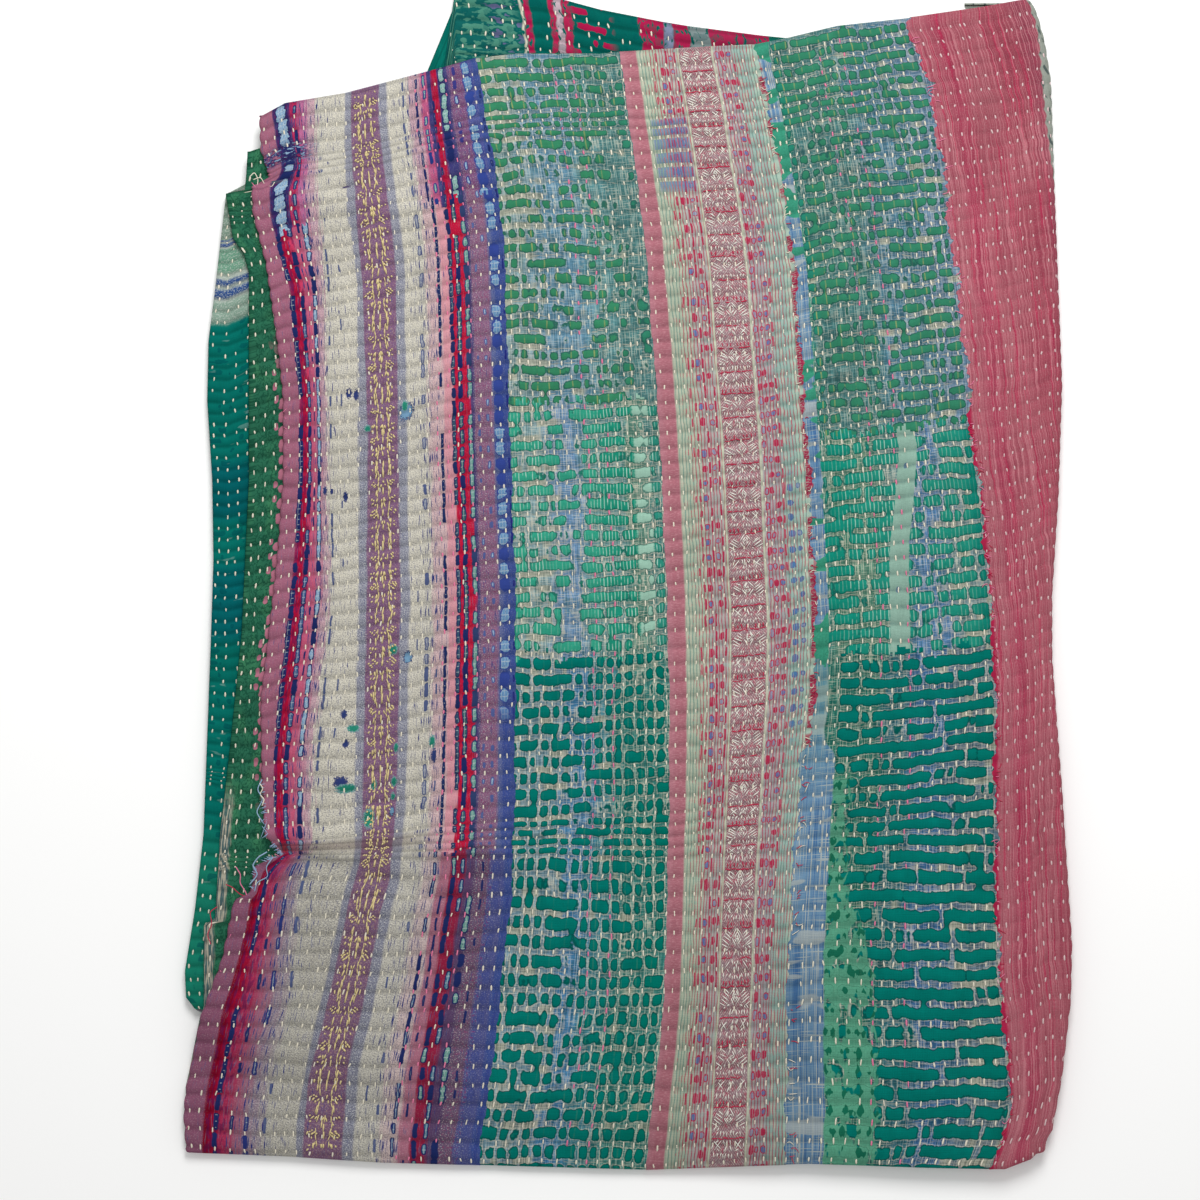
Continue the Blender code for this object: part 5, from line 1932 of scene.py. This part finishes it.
ALL_ROWS = np.arange(1, STITCH_ROWS + 1)
PINK_PLACES = (133, 144, 165, 256, 272, 483, 505)  # mm across, where the nearest line is sewn in pink
PINK_LINES = np.unique([np.abs(LINES_AT - place).argmin() for place in PINK_PLACES])
LEAF_ONE_LINES = np.flatnonzero(LINES_AT < FOLD_AT + 60)
PANEL_LINES = np.flatnonzero((LINES_AT > PINK_FROM + 1) & (LINES_AT < FOLD_AT + 60))
CREAM_LINES = np.setdiff1d(LEAF_ONE_LINES, np.append(PINK_LINES, PANEL_LINES))
stitches = [
    sew("cream_stitches", leaf_one, CREAM_LINES, ALL_ROWS, 0.9, cream_thread),
    sew("pink_stitches", leaf_one, PINK_LINES, ALL_ROWS, 0.92, pink_thread),
    sew("panel_stitches", leaf_one, PANEL_LINES, ALL_ROWS, 0.9, stained_thread, 3.8),
    sew("edge_stitches", leaf_two, np.arange(0, 7), ALL_ROWS, 0.85, cream_thread),
    sew("corner_stitches", leaf_three, np.arange(0, 7), ALL_ROWS, 0.8, cream_thread, 4),
    sew("top_corner_stitches", leaf_three, np.arange(7, 50), np.arange(1, 9), 0.8, cream_thread),
]

# %% [markdown]
# ## The brocade
#
# Both border stripes carry a pattern that was woven in with an extra thread, which floats over the
# ground in short strokes. A bump map would make them flat marks, so each float is a small raised
# thread. The chart holds half of one motif, in mm; it is mirrored, repeated down the stripe, and made
# a little uneven, and some floats are left out where they have worn through.

# %% Weave the floats
# How often each motif repeats down its stripe, and its middle line, in mm across.
PURPLE_MOTIF, CENTRE_MOTIF = (62, 86.2), (39, GROUND_MIDDLE)
# Each float: from (x, y) to (x, y), in mm from the motif's middle line and its top.
PURPLE_FLOATS = (
    (0, 0, 0, 5), (0.8, 1, 1.9, 4), (0, 5, 0, 11), (0.9, 4.5, 1.4, 8.5), (0, 11, 0, 15.5), (5.5, 1, 6.3, 3.2),
    (7.5, 0.5, 8.6, 2.2), (9.8, 0, 10.6, 1.6), (6, 5, 6.8, 6.8), (9, 4, 10.2, 5.2), (4, 12.5, 5.2, 13.7),
    (5.6, 11, 6.8, 12.2), (7.2, 9.6, 8.4, 10.8), (5.6, 13.8, 6.8, 15), (7.2, 12.4, 8.4, 13.6),
    (8.8, 11, 10, 12.2), (7.2, 15.2, 8.4, 16.4), (8.8, 13.8, 10, 15), (10.2, 12.4, 11.2, 13.6),
    (5.2, 19, 6, 22), (6.4, 19.4, 6.2, 23), (5.6, 23.6, 6.6, 26.5), (0.9, 19.5, 0.9, 22.5), (0, 23, 0, 27.5),
    (8.6, 20.5, 9.6, 21.8), (9, 24, 10, 25.2), (6.2, 30, 5.8, 36), (6.6, 35, 6.3, 42), (5.9, 41, 6.4, 45),
    (0, 31, 0, 38), (0, 37, 0, 45), (8.4, 31, 9.2, 33), (9.4, 37, 8.6, 39.5), (4.6, 50.5, 5.8, 51.7),
    (6.2, 49, 7.4, 50.2), (7.8, 47.6, 9, 48.8), (6.2, 51.8, 7.4, 53), (7.8, 50.4, 9, 51.6),
    (9.4, 49, 10.4, 50.2), (0, 47.5, 0, 50), (1.4, 51, 2.2, 53), (0, 54, 0, 60), (5.8, 55, 6.2, 60),
)
CENTRE_FLOATS = (
    (0.3, 3, 2.4, 6.2), (2.4, 6.8, 0.3, 10), (0.3, 5.2, 1.1, 6.4), (1.1, 6.8, 0.3, 8), (0.6, 1, 4.2, 5.8),
    (4.2, 7.4, 0.8, 12.2), (5.4, 4.6, 8.8, 2), (5.6, 7, 10.2, 3.8), (5.8, 9.2, 11.8, 5.4),
    (6.4, 11.4, 12.8, 7.4), (8.4, 12.8, 13.2, 10), (5.4, 11.6, 6.6, 13.4), (8.2, 13.6, 9.6, 14.8),
    (11, 12.8, 12.4, 14.4), (1.5, 15.6, 2, 18.6), (4, 15.8, 4.4, 18.4), (6.6, 16, 6.2, 18.6),
    (9, 15.8, 9.6, 18.4), (11.6, 15.6, 11.4, 18.2), (1, 22, 2, 25), (3.4, 21.5, 2.4, 25),
    (1.4, 26, 2.6, 29), (0, 24, 0, 28), (6, 22.5, 11, 28), (11, 22.5, 6, 28), (8.5, 21.5, 10.2, 23.4),
    (6.8, 29.4, 8.5, 27.6), (12.2, 24, 12.9, 27), (5.2, 30, 6.2, 33), (8, 30.4, 8.6, 33), (11, 30, 11.4, 33),
    (1.2, 31, 1.6, 34), (3.6, 31.4, 3.2, 34.4),
)
CRIMSON_FLOATS = (
    (0.4, 0.5, 4, -0.2), (4, -0.2, 8, 0.5), (8, 0.5, 13, 0), (0.4, 20, 4.4, 20.6), (4.4, 20.6, 9, 20),
    (9, 20, 13, 20.5), (2.2, 35, 2.6, 38), (5.4, 34.8, 5.2, 38), (8.6, 35, 8.9, 38.2), (11.8, 35, 11.6, 38),
)
STRAND_STEP, STRAND_COUNT = 4.4, 14
WAVER_AT = [4.6 + 0.8 * math.sin(step) for step in range(STRAND_COUNT + 1)]
WAVERING_FLOATS = [
    (WAVER_AT[step], STRAND_STEP * step, WAVER_AT[step + 1], STRAND_STEP * (step + 1))
    for step in range(STRAND_COUNT)
]
FLOAT_RISE = np.array([0.02, 0.3, 0.02]) * MM  # at its start, its middle and its end
FLOAT_TAPER = np.array([0.7, 1, 0.7])
ALONG = np.array([0, 0.5, 1])
CLOTH_LENGTH = STITCH_ROWS * ROW_PITCH


def weave_in(name, chart, repeat, middle, material, width, kept, seed):
    """The floats of one motif, all down its stripe, as one mesh."""
    luck = np.random.default_rng(seed)
    half = np.array(chart, float)
    mirrored = half[half[:, 0] + half[:, 2] > 0.3] * (-1, 1, -1, 1)
    tops = np.arange(0, CLOTH_LENGTH, repeat)[:, None, None] * (0, 1, 0, 1)
    strokes = (np.concatenate([half, mirrored]) + tops).reshape(-1, 4)
    strokes = strokes[luck.random(len(strokes)) < kept]
    strokes = strokes + luck.normal(0, 0.35, strokes.shape)
    strokes = strokes[(strokes[:, 1::2].min(1) > 1) & (strokes[:, 1::2].max(1) < CLOTH_LENGTH - 1)]
    across = middle + strokes[:, :1] + (strokes[:, 2:3] - strokes[:, :1]) * ALONG
    down = strokes[:, 1:2] + (strokes[:, 3:4] - strokes[:, 1:2]) * ALONG
    paths = leaf_one(across, down / ROW_PITCH, 0.3 * MM)
    paths[..., 2] += FLOAT_RISE + luck.random((len(paths), 1)) * 0.15 * MM
    radius = width * MM * (0.75 + 0.5 * luck.random((len(paths), 1))) * FLOAT_TAPER
    print(f"{name}: {len(paths):,} floats")
    return threads(name, paths, radius, 4, material, flatness=0.6)


brocade = [
    weave_in("purple_brocade", PURPLE_FLOATS, *PURPLE_MOTIF, yellow_thread, 0.72, 0.9, 31),
    weave_in("purple_strands", WAVERING_FLOATS, *PURPLE_MOTIF, yellow_thread, 0.6, 0.86, 34),
    weave_in("centre_brocade", CENTRE_FLOATS, *CENTRE_MOTIF, white_thread, 0.42, 0.88, 32),
    weave_in("crimson_brocade", CRIMSON_FLOATS, *CENTRE_MOTIF, crimson_thread, 0.5, 0.85, 33),
]

# %% [markdown]
# ## Frayed edges and loose threads
#
# Where a width of cloth has torn, its own threads stick out. A hair system could grow them, but they
# are few and lie in the cloth's plane, so they are threads like the stitches, each with a bend in it,
# set at random along the torn edges. The few long ones that hang off the left side are listed one by one.

# %% Fray the edges
FRAY_STATIONS = np.linspace(0, 1, 5)
FRAY_TAPER = np.array([1, 1, 1, 0.9, 0.5])
FRAY_WIDTH, TUFT_WIDTH = 0.32 * MM, 0.3 * MM  # half of each
FRAY_PROUD = 0.3 * MM
LOOSE_STATIONS = 25  # points along a loose thread
# Material, height in mm, half its width in mm, and its course as (x, y) in mm.
LOOSE_THREADS = (
    ("cream", 17.6, 0.4, ((-304, 322), (-300, 326), (-297, 320), (-299, 309), (-303, 306))),
    ("cream", 17.4, 0.35, ((-301, 320), (-295, 322), (-292, 316), (-286, 314), (-284, 318))),
    ("pink", 17.4, 0.45, ((-315, -230), (-311, -236), (-312, -243), (-307, -250), (-306, -254))),
    ("crimson", 17.2, 0.4, ((-323, -244), (-318, -246), (-312, -252), (-306, -254), (-302, -256))),
    ("cream", 17.8, 0.5, ((-296, -163), (-293, -167), (-296, -172), (-292, -176), (-294, -181))),
    ("blue", 17.6, 0.45, ((-294, -160), (-298, -168), (-293, -176), (-299, -186), (-292, -196))),
    ("blue", 17.8, 0.55, ((-290, -218), (-297, -222), (-302, -229), (-297, -236), (-304, -244))),
    ("blue", 18.2, 0.45, ((-285, -222), (-291, -230), (-289, -238), (-298, -242), (-300, -250))),
    ("crimson", 17, 0.4, ((-330, -262), (-336, -266), (-334, -276), (-338, -284), (-335, -292))),
)
THREAD_OF = {"cream": cream_thread, "pink": pink_thread, "crimson": crimson_thread, "blue": blue_thread}


def fray(name, edge, count, reach, material, seed, rows=(1, STITCH_ROWS)):
    """Short threads that stick out over a torn edge, which lies so many mm across."""
    luck = np.random.default_rng(seed)
    row = luck.uniform(*rows, count)[:, None]
    lengths = reach * (0.4 + luck.random(count)[:, None])
    bend = luck.normal(0, 0.12, (count, 1)) * np.sin(np.pi * FRAY_STATIONS)
    slope = luck.normal(0, 0.25, (count, 1)) * FRAY_STATIONS
    across = edge + luck.normal(0, 1.2, (count, 1)) + lengths * (FRAY_STATIONS - 0.3)
    paths = leaf_one(across, row + (bend + slope) * np.abs(reach) / 6, FRAY_PROUD)
    paths[..., 2] += (0.15 + 0.5 * np.sin(np.pi * FRAY_STATIONS)) * MM
    return threads(name, paths, FRAY_WIDTH * np.ones((count, 1)) * FRAY_TAPER, 4, material)


def hem_tufts(name, count, reach, material, seed, rows=(1, STITCH_ROWS - 1)):
    """Short threads that stick out to the left, past the hem of leaf 1."""
    luck = np.random.default_rng(seed)
    row = luck.uniform(*rows, (count, 1))
    start = leaf_one(np.zeros((count, 1)) + 1, row)
    lengths = reach * MM * (0.4 + luck.random((count, 1)))
    offset = np.stack([
        -lengths * FRAY_STATIONS,
        lengths * luck.normal(0, 0.7, (count, 1)) * FRAY_STATIONS,
        -1.5 * MM * FRAY_STATIONS**2 + 0 * lengths,
    ], -1)
    return threads(name, start + offset, TUFT_WIDTH * np.ones((count, 1)) * FRAY_TAPER, 4, material)


def loose_thread(number, kind, height, width, course):
    """One listed thread, smoothed between its points."""
    points = np.array([(x * MM, y * MM, height * MM) for x, y in course])
    places = np.linspace(0, len(points) - 1, LOOSE_STATIONS)
    path = np.stack([np.interp(places, np.arange(len(points)), points[:, axis]) for axis in range(3)], -1)
    for _ in range(3):
        path[1:-1] = (path[:-2] + 2 * path[1:-1] + path[2:]) / 4
    path[:, 2] += 0.6 * MM * np.sin(np.linspace(0, 3 * np.pi, len(path)))
    radius = np.full((1, len(path)), width * MM)
    return threads(f"loose_thread_{number}", (path + SHIFT)[None], radius, 4, THREAD_OF[kind])


frays = [
    fray("pink_fray", 570.6, 60, -4, crimson_thread, 51, rows=(28, 70)),
    fray("pink_fray_pale", 570.6, 70, -4, pink_thread, 52),
    fray("centre_fray", 429.5, 60, 4, crimson_thread, 53),
    fray("centre_fray_pale", 428.6, 50, 4.5, cream_thread, 54),
    hem_tufts("hem_tufts", 70, 2.6, pink_thread, 55),
    hem_tufts("hem_tufts_dark", 40, 2.2, crimson_thread, 56),
    hem_tufts("hem_tufts_blue", 90, 4, blue_thread, 57, rows=(47, 57)),
]
frays += [loose_thread(number, *entry) for number, entry in enumerate(LOOSE_THREADS)]
print(len(frays), "pieces of frayed and loose thread")

# %% [markdown]
# ## Floor, light and camera
#
# The photograph looks straight down at the quilt in the flat light of a studio. It is a little
# brighter at the top, and each rib is shaded on its lower side, so one soft lamp stands beyond the top
# edge, and a pale, even world fills the rest.

# %% Set the stage
CAMERA_HEIGHT, SENSOR = 2.4, 36  # metres, and mm
FRAME_WIDTH, FRAME_HEIGHT = 0.96, 0.018  # what the photo spans, and how high up the quilt, in metres
LOOKS_AT = (-0.0236, -0.0164)
FLOOR_REACH, FLOOR_HEIGHT = 3, -0.2 * MM
LAMP_SIZE, LAMP_POWER, LAMP_PLACE = 0.9, 31, (0.15, 1.3, 1.5)
LAMP_LEAN, LAMP_TURN = math.radians(-41), math.radians(-6)
WORLD_STRENGTH = 0.6

floor_finish, floor_shader = new_material("pale floor")
floor_shader.inputs["Base Color"].default_value = dye(252, 252, 251)
floor_shader.inputs["Roughness"].default_value = 0.9
floor_signs = np.array([(-1, -1, 1), (1, -1, 1), (1, 1, 1), (-1, 1, 1)])
floor_corners = floor_signs * (FLOOR_REACH, FLOOR_REACH, FLOOR_HEIGHT)
floor = new_mesh("floor", floor_corners, np.arange(4).reshape(1, 4), {}, floor_finish)
floor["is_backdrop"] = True

scene = bpy.context.scene
lamp = bpy.data.objects.new("key light", bpy.data.lights.new("key light", "AREA"))
lamp.data.shape = "RECTANGLE"
lamp.data.size = lamp.data.size_y = LAMP_SIZE
lamp.data.energy = LAMP_POWER
lamp.location = LAMP_PLACE
lamp.rotation_euler = (LAMP_LEAN, 0, LAMP_TURN)
scene.collection.objects.link(lamp)

scene.world = bpy.data.worlds.new("studio")
scene.world.use_nodes = True
sky = scene.world.node_tree.nodes["Background"].inputs
sky["Color"].default_value = (1, 1, 1, 1)
sky["Strength"].default_value = WORLD_STRENGTH

camera = bpy.data.objects.new("camera", bpy.data.cameras.new("camera"))
camera.location = (LOOKS_AT[0] + SHIFT[0], LOOKS_AT[1] + SHIFT[1], CAMERA_HEIGHT)
camera.data.sensor_width = SENSOR
camera.data.lens = SENSOR * (CAMERA_HEIGHT - FRAME_HEIGHT) / FRAME_WIDTH
scene.collection.objects.link(camera)
scene.camera = camera
scene.view_settings.view_transform = "Standard"
print("one lamp, one camera and a floor", 2 * FLOOR_REACH, "m wide")

# %% [markdown]
# ## Put each piece on the solid's body
#
# Every piece stands in for the imported solid and rides on its body, and the solid itself is hidden.

on_sheet = panels + stitches + brocade + frays
for piece in [quilt_sheet] + on_sheet:
    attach(piece, "root")
    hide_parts("quilt")

visual_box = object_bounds()
boxes = {"cad": cad_box, "visual": visual_box}
for name, box in boxes.items():
    print(name, in_mm(box))
